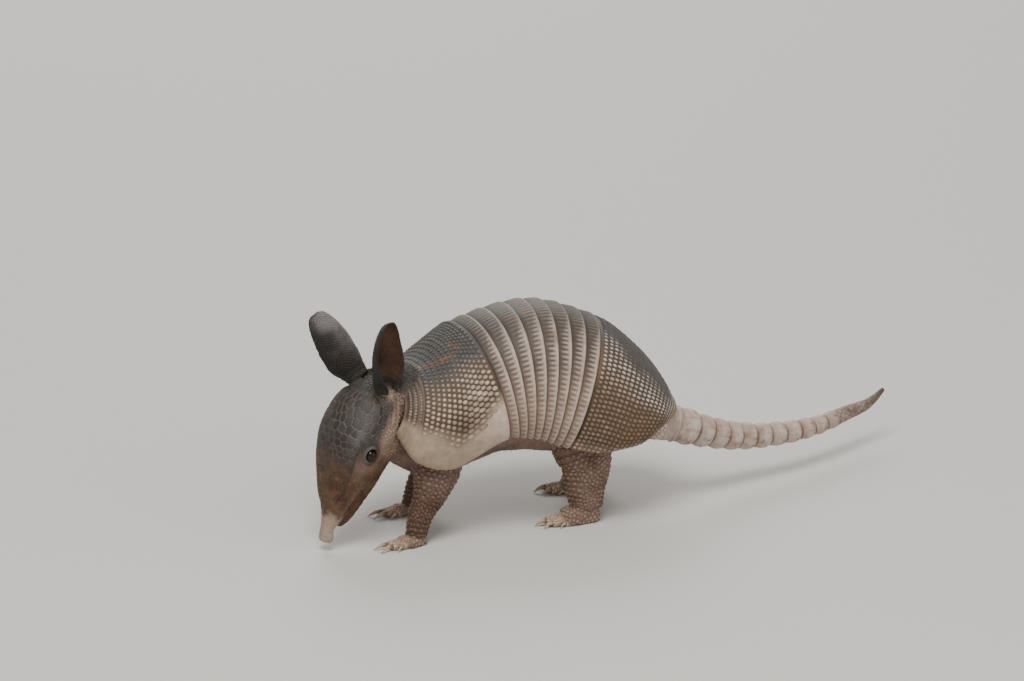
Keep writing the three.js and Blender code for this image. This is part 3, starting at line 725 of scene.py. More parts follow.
def shoulder_marks(place, v, points):
    """Ground colour, scute colour and how far the scutes stand out, on the shoulder shield."""
    q = np.abs(v)
    field = grains(points, 9, 3, 11)
    bound = 0.735 + 0.045 * hump(place, 0.66, 0.16) - 0.06 * step(0.8, 0.98, place)
    lobe = step(-0.06, 0.07, q - bound + 0.022 * field)
    lit = step(0.24, 0.48, q + 0.04 * field - 0.05 * step(0.6, 0.95, place))
    patch = hump(place, 0.66, 0.22) * hump(q, 0.71, 0.09)
    ridge = 0.5 + 0.5 * np.cos(2 * math.pi * COLLAR_ROWS * place / COLLAR)
    front = step(COLLAR * 1.05, COLLAR * 0.8, place) * step(0.06, 0.3, q)
    worn = (0.88 + 0.1 * mottle(points, 13, 16) + 0.05 * mottle(points, 2.6, 17))[..., None]
    speckle = step(-0.15, 0.5, mottle(points, 1.3, 14))
    rust = np.clip(streak(place, q, 0.027) * (0.15 + 0.7 * speckle), 0, 0.75) * (v < 0)
    flush = lobe * step(0.7, 0.95, place)
    flecks = step(0.5, 0.9, mottle(points, 1.6, 13)) * lobe * 0.22
    ground = coats(
        linear("slate") * 0.74,
        ("umber", 1, step(0.22, 0.45, q)),
        ("umber", 0.55, patch),
        ("clay", 0.9, 0.55 * front * ridge ** 2),
        ("umber", 0.45, 0.6 * front * (1 - ridge) ** 2),
        ("cream", worn, lobe),
        ("rust", 1, rust),
        ("shell_pink", 1.25, 0.85 * flush),
        ("earth", 1, flecks),
    )
    scute = coats(
        linear("slate") * 1.08,
        ("scute", 1, lit),
        ("earth", 1.15, 0.8 * patch),
        ("cream", worn + 0.13, lobe),
        ("rust", 1.1, rust),
    )
    scute = scute * (1 - 0.45 * step(0.26, 0.14, place) * (1 - lobe))[..., None]
    return ground, coats(scute, ("earth", 1, flecks)), 1 - 0.8 * lobe


def pelvic_marks(place, v, points):
    """The same for the pelvic shield."""
    q = np.abs(v)
    field = grains(points, 10, 3.5, 21)
    bare = step(0.38, 0.2, q + 0.12 * step(2.25, 2.05, place) + 0.04 * field) * step(2.95, 2.7, place)
    tan = np.clip(hump(place, 2.5, 0.22) * hump(q, 0.78, 0.16) * (0.9 + 0.4 * field), 0, 1)
    hem = np.maximum(step(0.88, 0.97, q), 0.85 * step(2.86, 2.97, place))
    seam = hump(place, 2.03, 0.03) * hump(q, 0.42, 0.12) * (v < 0)
    ground = coats(
        linear("umber") * 0.82,
        ("slate", 0.8, step(0.55, 0.2, q) * 0.75),
        ("tan", 0.9, 0.7 * tan),
        ("rose", 1, 0.6 * hem),
        ("rust", 0.6, 0.6 * seam),
    )
    scute = coats(
        linear("bone") * 1.16,
        ("earth", 1.28, 0.93 * step(0.37, 0.57, q + 0.08 * field)),
        ("tan", 1.4, 0.7 * tan),
        ("slate", 0.98, bare),
        ("cream", 1, hem),
        ("rust", 1, 0.4 * seam),
    )
    return ground, scute, 1 - 0.55 * bare


def band_marks(place, v, points, f, tick):
    """Colour of a band: f runs from its front to its rear edge and tick is 1 on a scute's light bar."""
    q = np.abs(v)
    field = grains(points, 8, 2.5, 31)
    low = step(0.4, 0.85, q + 0.06 * field)
    stain = hump(place, 1.55, 0.2) * hump(q, 0.36, 0.16) * step(-0.2, 0.7, mottle(points, 6, 34))
    dark = coats(
        linear("ash") * 0.92,
        ("taupe", 0.8, step(-0.05, 0.36, q + 0.08 * field)),
        ("clay", 1.12, 0.92 * low),
        ("umber", 0.75, 0.7 * stain),
    )
    # painted shadow: each band is darker at its front edge, under the rim of the band before it
    dark = dark * (0.55 + 0.45 * step(0.0, 0.3, f))[..., None]
    light = coats(
        linear("bone") * 0.66,
        ("shell_pink", 1.04, step(0.14, 0.4, q)),
        ("shell_pink", 0.84, step(0.6, 0.9, q)),
        ("earth", 1.2, 0.55 * stain),
    )
    uneven = mottle(points, 1.7, 35)
    reach = 0.8 - 0.52 * step(0.1, 0.42, q + 0.05 * field) + 0.07 * uneven
    shown = tick * step(reach - 0.14, reach + 0.22, f) * (0.92 + 0.12 * uneven)
    thin = 0.2 * step(0.4, 0.12, q)
    rim = step(0.66 + thin, 0.82 + 0.5 * thin, f + 0.03 * uneven)
    rim = rim * (0.64 + 0.22 * step(0.06, 0.35, q) + 0.1 * tick)
    fine = 0.3 * tick * (1 - step(0.1, 0.42, q)) * step(0.15, 0.4, f)
    colour = blend(dark, light, np.maximum(np.maximum(shown * (0.72 + 0.2 * low), rim), fine))
    patches = hump(place, 1.47, 0.05) * hump(q, 0.1, 0.05) + hump(place, 1.34, 0.04) * hump(q, 0.14, 0.035)
    soil = np.clip(patches * step(-0.3, 0.6, mottle(points, 1.4, 33)), 0, 0.5) * (v < 0)
    last = 0.4 * hump(place, 1.995, 0.012) * step(0.15, 0.3, q) * step(0.7, 0.5, q) * (v < 0)
    return coats(colour, ("rust", 0.7, np.maximum(soil, last)))


SHIELD_ALONG = 96  # rows of points on a shield
SHIELD_AROUND = 190
RIM_PROFILE = [[0, 0], [0.9, 0.1], [0.965, 0.28], [0.985, 0.2], [1.0, -0.5]]  # [share of the shield, height]


def shield(name, start, stop, marks, relief):
    """A shield: a curved plate whose relief is a function of its own share, q and the points."""
    f = np.linspace(0, 1, SHIELD_ALONG)
    place, v = np.meshgrid(start + (stop - start) * f, np.linspace(-1, 1, SHIELD_AROUND), indexing="ij")
    flat = shell_point(place, v)
    height = relief((place - start) / (stop - start), np.abs(v), flat)
    outer = shell_point(place, v, height)
    floor = -PLATE + 0.9 * step(0.93, 0.99, f)[:, None]  # thinner at the rear edge
    inner = shell_point(place, v, np.minimum(height - 1.1, floor))
    ground, _, _ = marks(place, v, flat)
    return new_sheet(name, outer, inner, ground, SHELL_FINISH)


def shoulder_relief(f, q, points):
    rows = np.cos(2 * math.pi * COLLAR_ROWS * f / COLLAR)
    collar = (0.28 * rows - 0.1) * step(COLLAR * 1.05, COLLAR * 0.8, f)
    front = -1.2 * step(0.035, 0.0, f)
    rim = at(RIM_PROFILE, f)[..., 0]
    dents = 0.18 * mottle(points, 14, 41) + 0.05 * mottle(points, 2.5, 42)
    return collar + front + rim + dents - 0.7 * step(0.965, 1.0, q)


def pelvic_relief(f, q, points):
    front = -1.15 * step(0.05, 0.0, f) - 0.35 * step(0.12, 0.04, f)
    rim = 0.25 * step(0.9, 0.97, f) - 1.0 * step(0.975, 1.0, f)
    hem = 0.3 * step(0.9, 0.95, q) - 0.9 * step(0.965, 1.0, q)
    dents = 0.2 * mottle(points, 16, 43) + 0.05 * mottle(points, 2.5, 44)
    return front + rim + hem + dents


SMOOTH = 0.3  # scutes lower than this share of their rise are left out
FULL_CHORD = 60  # scutes get smaller where the shell is narrower than this


def scutes(name, start, stop, marks, relief, seed, rows_at, row_gap, gap, size, rise, first, last):
    """Hexagonally packed scutes on a shield, from first to last of its shares.

    Rows stand row_gap apart on the line v = rows_at, and scutes gap apart in a row. size is [along the body,
    across] as shares of the gaps, and rise is in millimetres.
    """
    spots = {key: [] for key in ("at", "stand", "lie", "size", "tint", "root")}
    span = stop - start
    places = along(rows_at, start + first * span, start + last * span, row_gap)
    nudge = 0.5 * (places[1] - places[0])
    for i, place in enumerate(places):
        chord = np.linalg.norm(shell_point(place, 0.5) - shell_point(place, -0.5))
        taper = np.clip(chord / FULL_CHORD, 0.45, 1)
        v = around(place, gap * taper, 0.5 * (i % 2))
        here = np.full_like(v, place)
        flat = shell_point(here, v)
        height = relief((here - start) / span, np.abs(v), flat)
        points, stand, rearward = shell_frame(here, v, height - 0.03)
        pitch = np.linalg.norm(shell_point(here + nudge, v) - shell_point(here - nudge, v), axis=-1)
        _, colour, proud = marks(here, v, flat)
        full = 0.92 + 0.25 * step(0.25, 0.6, np.abs(v))
        sizes = [pitch * size[0] * full, gap * taper * size[1] * full, rise * proud * taper]
        root = [0.05 + 0.9 * (here - start) / span, 0.5 + 0.45 * v]
        spots["at"].append(points)
        spots["stand"].append(stand)
        spots["lie"].append(rearward)
        spots["size"].append(np.stack(sizes, -1))
        spots["tint"].append(colour)
        spots["root"].append(np.stack(root, -1))
    spots = {key: np.concatenate(value) for key, value in spots.items()}
    clear = spots["size"][:, 2] > SMOOTH * rise
    finish(studs(name, picked(spots, clear), DOME, SCUTE_FINISH, 0.12, 0.22, seed), "shell")


TICK_GAP = 2.3  # between a band's light bars
BAND_AROUND = 400  # points round a band
# Outside of a band: [share of the band's length, height over the shell's surface]
BAND_OUTSIDE = [
    [-0.14, -1.7], [-0.05, -1.15], [0.02, -0.86], [0.09, -0.74], [0.17, -0.64], [0.26, -0.53], [0.36, -0.42],
    [0.46, -0.31], [0.56, -0.2], [0.66, -0.1], [0.75, -0.01], [0.83, 0.07], [0.9, 0.11], [0.95, 0.06],
    [0.985, -0.1], [1.0, -0.4],
]
TICK_RISE = 0.17  # how far a band's light bars stand out


def band(i):
    """A movable band: a hoop whose pale, rounded rear edge rises over the next one."""
    start = 1 + i / BANDS
    share, height = np.array(BAND_OUTSIDE).T
    v = np.linspace(-1, 1, BAND_AROUND)
    middle = shell_point(start + 0.5 / BANDS, v)
    run = distances(middle)
    wander = 0.1 * mottle(middle, 6, 50 + i)
    beat = (run - run[-1] / 2) / TICK_GAP + 0.5 * (i % 2) + wander
    off = np.abs(beat - np.round(beat)) * 2  # 0 on a light bar's middle, 1 between two bars
    place, side = np.meshgrid(start + share / BANDS, v, indexing="ij")
    f, off = np.meshgrid(share, off, indexing="ij")
    width = 0.3 + 0.4 * step(0.3, 0.9, f)
    tick = step(width + 0.34, width - 0.26, off)
    flat = shell_point(place, side)
    bars = TICK_RISE * (tick - 0.5) * step(0.14, 0.4, f) * step(1.0, 0.86, f)
    wavy = 0.1 * mottle(flat, 11, 51 + i) - 0.8 * step(0.97, 1.0, np.abs(side))
    top = height[:, None] + bars + wavy
    outer = shell_point(place, side, top)
    under = np.minimum(-2.1 + 0.95 * step(0.6, 1.0, f), top - 0.3)
    inner = shell_point(place - 0.01 / BANDS * step(0.9, 1.0, f), side, under)
    colour = band_marks(place, side, flat, f, tick)
    finish(new_sheet(f"band_{i + 1}_hoop", outer, inner, colour, BAND_FINISH), "band", f"band_{i + 1}")


SHOULDER = (0, 1, shoulder_marks, shoulder_relief)
PELVIS = (2, 3, pelvic_marks, pelvic_relief)


def carapace():
    finish(shield("shoulder_plate", *SHOULDER), "shell", "shoulder_shield")
    scutes("shoulder_scutes", *SHOULDER, seed=5, rows_at=-0.55, row_gap=2.45, gap=2.7, size=(0.72, 0.68),
           rise=0.5, first=COLLAR, last=0.955)
    scutes("collar_scutes", *SHOULDER, seed=6, rows_at=-0.5, row_gap=2.5, gap=2.1, size=(0.5, 0.86),
           rise=0.4, first=0.04, last=COLLAR * 0.95)
    finish(shield("pelvic_plate", *PELVIS), "shell", "pelvic_shield")
    scutes("pelvic_scutes", *PELVIS, seed=7, rows_at=-0.5, row_gap=2.6, gap=2.2, size=(0.8, 0.7),
           rise=0.45, first=0.05, last=0.975)
    for i in range(BANDS):
        band(i)


# ---------------------------------------------------------------- head
PITCH = math.radians(HEAD_PITCH)
YAW = math.radians(HEAD_YAW)
FORWARD = np.array([-math.cos(PITCH) * math.cos(YAW), -math.cos(PITCH) * math.sin(YAW), -math.sin(PITCH)])
LEFTWARD = np.array([math.sin(YAW), -math.cos(YAW), 0])
DORSAL = np.cross(FORWARD, LEFTWARD)
NAPE = NOSE_TIP - HEAD_LENGTH * FORWARD


def in_head(forward, dorsal, left):
    """A point given along the head from the nape, towards its crown and towards its left."""
    forward, dorsal, left = np.broadcast_arrays(forward, dorsal, left)
    return NAPE + forward[..., None] * FORWARD + dorsal[..., None] * DORSAL + left[..., None] * LEFTWARD


def head_point(table, s, angle, out=0.0):
    """A point of the skull or the jaw: angle is 0 on the crown and 90 degrees on the left."""
    centre, high, half = np.moveaxis(at(table, s), -1, 0)
    turn = np.radians(angle)
    return in_head(s, centre + (high + out) * np.cos(turn), (half + out) * np.sin(turn))


def cells(u, w, seed, jitter=0.26):
    """Irregular hexagonal cells: how far inside its cell each point is, and its cell's tone."""
    row = np.floor(u).astype(int)
    best = np.full(u.shape, 9.0)
    second = np.full(u.shape, 9.0)
    tone = np.zeros(u.shape)
    table = np.random.default_rng(seed).uniform(-1, 1, (64, 64, 3))
    for dr, dc in itertools.product((-1, 0, 1), (-1, 0, 1, 2)):
        r = row + dr
        half = 0.5 * (r % 2)
        column = np.floor(w - half).astype(int) + dc
        shift = table[r % 64, column % 64]
        reach = np.hypot(u - r - 0.5 - jitter * shift[..., 0], w - column - half - jitter * shift[..., 1])
        closer = reach < best
        second = np.where(closer, best, np.minimum(second, reach))
        tone = np.where(closer, shift[..., 2], tone)
        best = np.where(closer, reach, best)
    return second - best, tone


# How far the head's scales reach round it, behind the eye, over it and along the muzzle: [s, degrees]
SCALES_REACH = [[-0.5, 42], [4, 66], [10, 79], [16, 81], [20, 74], [24, 63], [31, 60], [38, 64], [46, 64],
                [52, 54], [57.5, 25]]


def head_plate():
    """The plate on the crown: polygon scales with light borders, feathered into the skin at its edge."""
    first, last = SCALES_REACH[0][0], SCALES_REACH[-1][0]
    s, a = np.meshgrid(np.linspace(first, last, 220), np.linspace(-1, 1, 160), indexing="ij")
    angle = at(SCALES_REACH, s)[..., 0] * a
    off = np.abs(angle)
    crowd = s / 4.1 + 0.055 * np.maximum(0, s - 20) ** 1.35  # scales get smaller down the muzzle
    border, tone = cells(crowd, angle / 10.5 + 40, 3)
    inside = step(0.03, 0.2, border)
    edge = step(1.0, 0.88, np.abs(a)) * step(first, 2, s) * step(last, 50, s)
    crown = step(78, 40, off) * step(first, 4, s) * step(last, 45, s)
    small = 1 - 0.5 * step(35, 55, s)
    height = -0.35 - COAT + edge * (COAT + 0.4 + (SHIELD_OVER - 0.7) * crown + 0.3 * inside * small)
    points = head_point(SKULL, s, angle)
    height = height + 0.05 * tone * edge + 0.12 * mottle(points, 9, 61) * edge
    outer = head_point(SKULL, s, angle, height)
    inner = head_point(SKULL, s, angle, np.minimum(-0.6, height - 0.3))
    field = mottle(points, 8, 62)
    sheen = hump(s, 17, 10) * hump(off, 52, 13)
    plate = coats(
        linear("ash"),
        ("olive", 1, step(0.1, 0.9, 0.5 + 0.4 * field + 0.2 * tone)),
        ("lavender", 1, np.clip(sheen + 0.18 * tone, 0, 0.9)),
    )
    net = coats(linear("earth") * 0.5, ("lavender", 1, np.clip(0.35 + 0.5 * sheen + 0.2 * field, 0, 1)))
    colour = blend(net, plate * (0.72 + 0.17 * tone)[..., None], inside * 0.9)
    muzzle = step(27, 42, s + 4 * field)
    behind_eye = hump(off, 74, 5) * step(20, 16, s) * step(3, 7, s)
    colour = coats(
        blend(colour, muzzle_colour(points, border), muzzle),
        ("dusk", 1, 0.75 * behind_eye * inside),
        ("rose", 0.6, 0.6 * (1 - edge) * (1 - muzzle) * step(70, 78, off)),
    )
    finish(new_sheet("head_scales", outer, inner, colour, PLATE_FINISH), "head_plate", "head_shield")


def muzzle_colour(points, border):
    """Dark red-brown, mottled, and a little darker on the borders between scales."""
    field = grains(points, 3.2, 1.3, 63, 0.6)
    colour = coats(
        linear("liver") * 0.8,
        ("tan", 0.82, step(-0.8, 1.1, field)),
        ("liver", 1.15, 0.65 * step(-0.3, 0.8, mottle(points, 5, 65))),
        ("rust", 0.48, 0.6 * step(0.1, 0.9, mottle(points, 4, 67))),
        ("earth", 1.1, 0.4 * step(0.5, 0.9, mottle(points, 0.9, 66))),
    )
    return blend(colour * 0.88, colour, step(0.02, 0.25, border))


def eye_point(side, out=0.0):
    return head_point(SKULL, EYE["s"], side * EYE["angle"], out)


def eye_frame(side):
    """Centre of the eyeball, the way that it looks, and the way to the crown."""
    looks = unit(head_point(SKULL, EYE["s"], side * EYE["angle"], 4) - eye_point(side))
    up = unit(head_point(SKULL, EYE["s"], side * (EYE["angle"] - 5)) - eye_point(side))
    return eye_point(side, -EYE["sunk"]), looks, up


def eyes():
    """Dark wet balls with a slightly lighter iris and a clear bulge over it."""
    turn = np.linspace(0, 2 * math.pi, 48, endpoint=False)
    turn, tilt = np.meshgrid(turn, np.linspace(0.04, 1, 36) * math.pi)
    radius = EYE["radius"] * (1 + 0.06 * hump(tilt, 0, 0.55))
    colour = coats(
        linear("coal") * 0.2,
        ("liver", 0.3, hump(tilt, 0.5, 0.22)),
        ("umber", 0.6, step(0.95, 1.15, tilt)),
    )
    ends = [linear("coal") * 0.25, linear("umber") * 0.5]
    for name, side in (("left", 1), ("right", -1)):
        centre, looks, up = eye_frame(side)
        across = np.cross(looks, up)
        ring = ((np.cos(turn) * np.sin(tilt))[..., None] * across
                + (np.sin(turn) * np.sin(tilt))[..., None] * up)
        points = centre + radius[..., None] * (ring + np.cos(tilt)[..., None] * looks)
        finish(new_tube(f"eye_{name}_ball", points, colour, ends, EYE_FINISH), "eye", f"eye_{name}")


# ---------------------------------------------------------------- tail
def by_length(stations):
    """A limb's stations with the distance along it put before them."""
    stations = np.asarray(stations, float)
    return np.column_stack([distances(stations[:, :3]), stations])


TAIL_TABLE = by_length(TAIL)
TAIL_END = TAIL_TABLE[-1, 0]
TAIL_TIP = 0.35  # the tail's surface closes this far before its last station
TAIL_ROOT = 3.5  # and starts this far before its rings


def limb_point(table, d, angle, out=0.0, up=(0, 0, 1)):
    """A point round a limb's axis at distance d; angle runs in degrees from the side that faces up."""
    d, angle, out = np.broadcast_arrays(np.asarray(d, float), angle, out)
    row = at(table, d)
    way = unit(at(table, d + 0.2)[..., :3] - at(table, d - 0.2)[..., :3])
    side = unit(np.cross(way, np.broadcast_to(np.array(up, float), way.shape)))
    rise = np.cross(side, way)
    wide = row[..., 3]
    high = row[..., 4] if row.shape[-1] > 4 else wide
    turn = np.radians(angle)
    return (row[..., :3] + ((wide + out) * np.sin(turn))[..., None] * side
            + ((high + out) * np.cos(turn))[..., None] * rise)


RING_SCUTES = 8  # scutes at a ring's rear edge; it has twice as many at its front


def tail_rings():
    """A tapering tube of hard rings, each with a row of blocky scutes at its rear, and a scaly tip."""
    d, angle = loops(RING_START - TAIL_ROOT, TAIL_END - TAIL_TIP, 420, 96)
    radius = at(TAIL_TABLE, d)[..., 3]
    place = (d - RING_START) / RING_LENGTH
    ring = np.floor(place)
    f = place - ring
    rear = step(0.96, 0.74, blocks(angle, RING_SCUTES, 0.5 * (ring % 2)))
    rear = rear * step(0.38, 0.5, f) * step(1.0, 0.93, f)
    front = step(0.95, 0.65, blocks(angle, RING_SCUTES * 2)) * step(0.08, 0.16, f) * step(0.44, 0.34, f)
    joint = hump(f, 0, 0.08) * step(0.2, 0.6, place) + hump(f, 1, 0.08) * step(-0.6, 0.2, place)
    fine, tone = cells(d / 2.4, angle / 360 * 8 + 20, 71, 0.2)
    scales = step(0.08, 0.34, fine)
    size = radius / 6
    bulge = 0.13 * radius * hump(f, 0.7, 0.36) - 0.04 * radius
    ringed = bulge + size * (0.2 * rear + 0.1 * front - 0.3 * joint)
    on_rings = step(-0.3, 0.0, place) * step(TAIL_RINGS + 0.05, TAIL_RINGS - 0.05, place)
    on_tip = step(TAIL_RINGS - 0.05, TAIL_RINGS + 0.05, place)
    sunk = step(RING_START - 1, RING_START - TAIL_ROOT, d)
    height = on_rings * ringed + on_tip * 0.28 * size * scales - 1.0 * sunk
    points = limb_point(TAIL_TABLE, d, angle, height)
    field = grains(points, 7, 2.5, 72, 0.6)
    top = off_top(angle)
    pale = coats(linear("shell_pink"), ("bone", 1, step(-0.5, 0.8, field))) * 1.1
    ground = coats(linear("rose") * 1.02, ("shell_pink", 0.9, step(-0.4, 0.9, field)))
    colour = blend(ground, pale * 0.88, 0.55 * front)
    # Each ring is paler over its raised rear scutes, partly their own pale colour and partly a painted
    # highlight on the raised rims, and darker over its front half.
    colour = coats(
        blend(colour, pale, 0.4 + 0.4 * rear - 0.4 * step(0.5, 0.1, f)),
        ("rose", 0.8, 0.55 * step(0.15, 0.9, mottle(points, 3.2, 74))),
        ("liver", 1.25, np.clip(joint, 0, 1) * (0.5 + 0.45 * step(30, 90, top))),
        ("rose", 0.7, step(0.25, 0.75, mottle(points, 1.4, 75)) * (0.25 + 0.4 * step(20, 110, top))),
    )
    tip = coats(
        linear("rose") * 0.62,
        ("shell_pink", 0.66, scales * step(-1.2, 0.5, field + tone)),
        ("taupe", 0.8, 0.8 * step(0.1, 0.8, mottle(points, 2.6, 76))),
        ("taupe", 0.9, step(TAIL_END - 26, TAIL_END, d)),
    )
    colour = blend(tip, colour, step(TAIL_RINGS + 0.8, TAIL_RINGS - 1.2, place + 0.5 * field))
    colour = coats(colour, ("shell_pink", 0.9, step(0.1, -0.25, place) * 0.85))
    made = new_tube("tail_rings", points, colour, [linear("umber")] * 2, TAIL_FINISH)
    finish(made, "tail", "tail_base", "tail_middle", "tail_end")


# ---------------------------------------------------------------- feet
def heading(degrees):
    """The level way that is turned this far from straight ahead."""
    turn = math.radians(degrees)
    return np.array([-math.cos(turn), -math.sin(turn), 0])


def toe(foot, toes, i):
    """Way and the centres of a toe's root, knuckle and front face."""
    turn, reach, radius, _ = toes[i]
    way = heading(foot["heading"] + turn)
    palm = np.array([*foot["heel"], 0]) + PALM * heading(foot["heading"])
    up = np.array([0, 0, radius])
    root = palm + 0.35 * reach * way + TOE_HEIGHTS[0] * up
    knuckle = palm + (reach - PALM) * way + TOE_HEIGHTS[1] * up
    return way, root, knuckle, knuckle + 0.7 * radius * way


def toes_of(name):
    return FORE_TOES if name.startswith("fore") else HIND_TOES


CLAW_ROOT = 1.0  # a claw starts this far inside its toe


def claws(name, foot):
    """Curved horn claws that bend down to the floor, one mesh for each foot."""
    toes = toes_of(name)
    above = np.array([0, 0, 1])
    all_points, all_faces, all_tints = [], [], []
    turn = np.linspace(0, 2 * math.pi, 18, endpoint=False)
    f, turn = np.meshgrid(np.linspace(0, 1, 22), turn, indexing="ij")
    keel = 1 + 0.22 * np.maximum(0, np.sin(turn)) ** 3
    colour = coats(linear("umber") * 1.3, ("cream", 1.05, step(0.05, 0.55, f)))
    colour = colour * (1 + 0.12 * np.sin(9 * turn))[..., None]
    for i, (_, _, radius, length) in enumerate(toes):
        way, _, _, front = toe(foot, toes, i)
        side = np.cross(way, above)
        size = radius * 0.56 * (1 - f) ** 0.62 + 0.1
        lift = radius * 0.42 * np.sin(math.pi * f) - (radius * TOE_HEIGHTS[1] - 0.3) * f * f
        axis = front + (length + 1.3) * f[..., None] * way - CLAW_ROOT * way + lift[..., None] * above
        across = (0.84 * size * np.cos(turn))[..., None] * side
        points = axis + across + (size * keel * np.sin(turn))[..., None] * above
        points[..., 2] = np.maximum(points[..., 2], 0.02)
        flat, faces = tube_mesh(points)
        offset = sum(len(p) for p in all_points)
        all_faces += [[k + offset for k in face] for face in faces]
        all_points.append(flat)
        all_tints.append(np.vstack([colour.reshape(-1, 3), linear("umber"), linear("cream")]))
    made = new_object(name.replace("foot", "claws"), np.vstack(all_points), all_faces, CLAW_FINISH)
    tinted(made, np.vstack(all_tints))
    nodes = [f"{name.replace('foot', 'claw')}_{i + 1}" for i in range(len(toes))]
    finish(made, "claw", *nodes)


# ---------------------------------------------------------------- the skin's sources
# Each source is a closed form with values on its points: tint, where they lie along it, how deep and how long
# its folds are, how hairy it is, its scales' size where it has any, whether the shell hides it, and its place
# on the bake map.
KEYS = ("tint", "along", "fold", "period", "hairy", "scaly", "hidden", "root")
sources = []


def add_source(points, tint, along, fold, period, tile, hairy=0.0, scaly=0.0, hidden=0.0):
    """points is a grid of loops, one loop in each row; tile is the source's own sixteenth of the bake map."""
    rows, columns = points.shape[:2]
    flat, faces = tube_mesh(points)
    u, v = np.meshgrid(np.linspace(0, 1, rows), np.linspace(0, 1, columns), indexing="ij")
    corner = np.array([tile % 4, tile // 4]) / 4
    values = {"tint": tint, "along": along, "fold": fold, "period": period, "hairy": hairy, "scaly": scaly,
              "hidden": hidden, "root": corner + 0.01 + 0.23 * np.stack([u, v], -1)}
    spread = {}
    for key, value in values.items():
        width = {"tint": 3, "root": 2}.get(key, 1)
        value = np.asarray(value, float)
        if width == 1:
            value = value[..., None]
        full = np.broadcast_to(value, (rows, columns, width)).reshape(-1, width)
        spread[key] = np.vstack([full, full[:1], full[-1:]])
    sources.append((flat, faces, spread))


def loops(first, last, count, sides):
    """A grid of loops: how far along each one is, and degrees round it."""
    return np.meshgrid(np.linspace(first, last, count), np.arange(sides) * 360 / sides, indexing="ij")


def off_top(angle):
    """Degrees from the upper side, either way round."""
    return np.abs((angle + 180) % 360 - 180)


def blocks(angle, count, shift=0.0):
    """How near the border of its scute an angle is, with count of them round the tail: 1 is on the border."""
    return np.abs((angle / 360 * count + shift) % 1 - 0.5) * 2


def eye_distance(s, angle):
    """Millimetres from the eye, along the head and away from the crown, on its own side."""
    forward = s - EYE["s"]
    down = (np.abs(angle) - EYE["angle"]) * MM_PER_DEGREE
    return forward, down


def lids(s, angle):
    """Heights of the lids, the hollow under them and the wrinkles round them."""
    forward, down = eye_distance(s, angle)
    r = np.hypot(forward / 1.12, down)
    hollow = -3.2 * step(2.75, 2.1, r)
    lid = (1.0 + 0.3 * step(1, -2, down)) * hump(r, 3.05, 0.75)
    wrinkles = 0.42 * hump(r, 5.1, 0.6) - 0.5 * hump(r, 4.2, 0.45) + 0.25 * hump(r, 6.7, 0.6)
    return hollow + lid + wrinkles


def head_tint(s, angle, points):
    """The head's skin: dark on top, pink on the cheek, red-brown to the nose, with rings round the eye."""
    off = np.abs(angle)
    forward, down = eye_distance(s, angle)
    r = np.hypot(forward / 1.12, down)
    field = grains(points, 6, 2, 81)
    cheek = hump(s, 13, 13) * step(80, 98, off)
    notch = hump(s, -2, 4) * hump(angle, 72, 16)
    muzzle = step(27, 40, s + 3 * field + 7 * step(86, 106, off))
    mouth = hump(off, 112, 16) * step(36, 46, s)
    freckles = 1 - 0.4 * step(0.35, 0.8, mottle(points, 1.1, 80))
    patchy = s + 0.8 * field + 2.6 * mottle(points, 1.5, 79)
    before = hump(forward, 6, 5) * hump(down, -1, 5)
    colour = coats(
        linear("ash") * 1.15,
        ("rose", 0.62, step(78, 98, off + 6 * field)),
        ("pink", 0.8, np.clip(0.88 * cheek * (0.85 + 0.3 * field), 0, 1)),
        ("pink", 0.9, 0.8 * notch),
    )
    return coats(
        blend(colour, muzzle_colour(points, np.ones_like(s)), muzzle),
        ("rose", 0.6, 0.6 * mouth),
        ("pink", freckles[..., None], step(55.5, 61.5, patchy)),
        ("rose", 0.9, 0.65 * before),
        ("lavender", 0.85, 0.8 * hump(r, 3.2, 0.8) * step(1.2, -0.5, down)),
        ("liver", 0.8, 0.85 * hump(r, 3.7, 1.0) * step(-1, 1.0, down)),
        ("coal", 1, 0.85 * hump(r, 2.15, 0.5)),
        # painted shade in the creases of the wrinkles round the eye
        ("dusk", 1, 0.45 * hump(r, 4.3, 0.4) + 0.3 * hump(r, 6.0, 0.4)),
    )


NOSE_PAD = 2.2  # how far the rows of the blunt nose pad reach in from its rim
NOSTRIL_AT = 105  # degrees from the crown


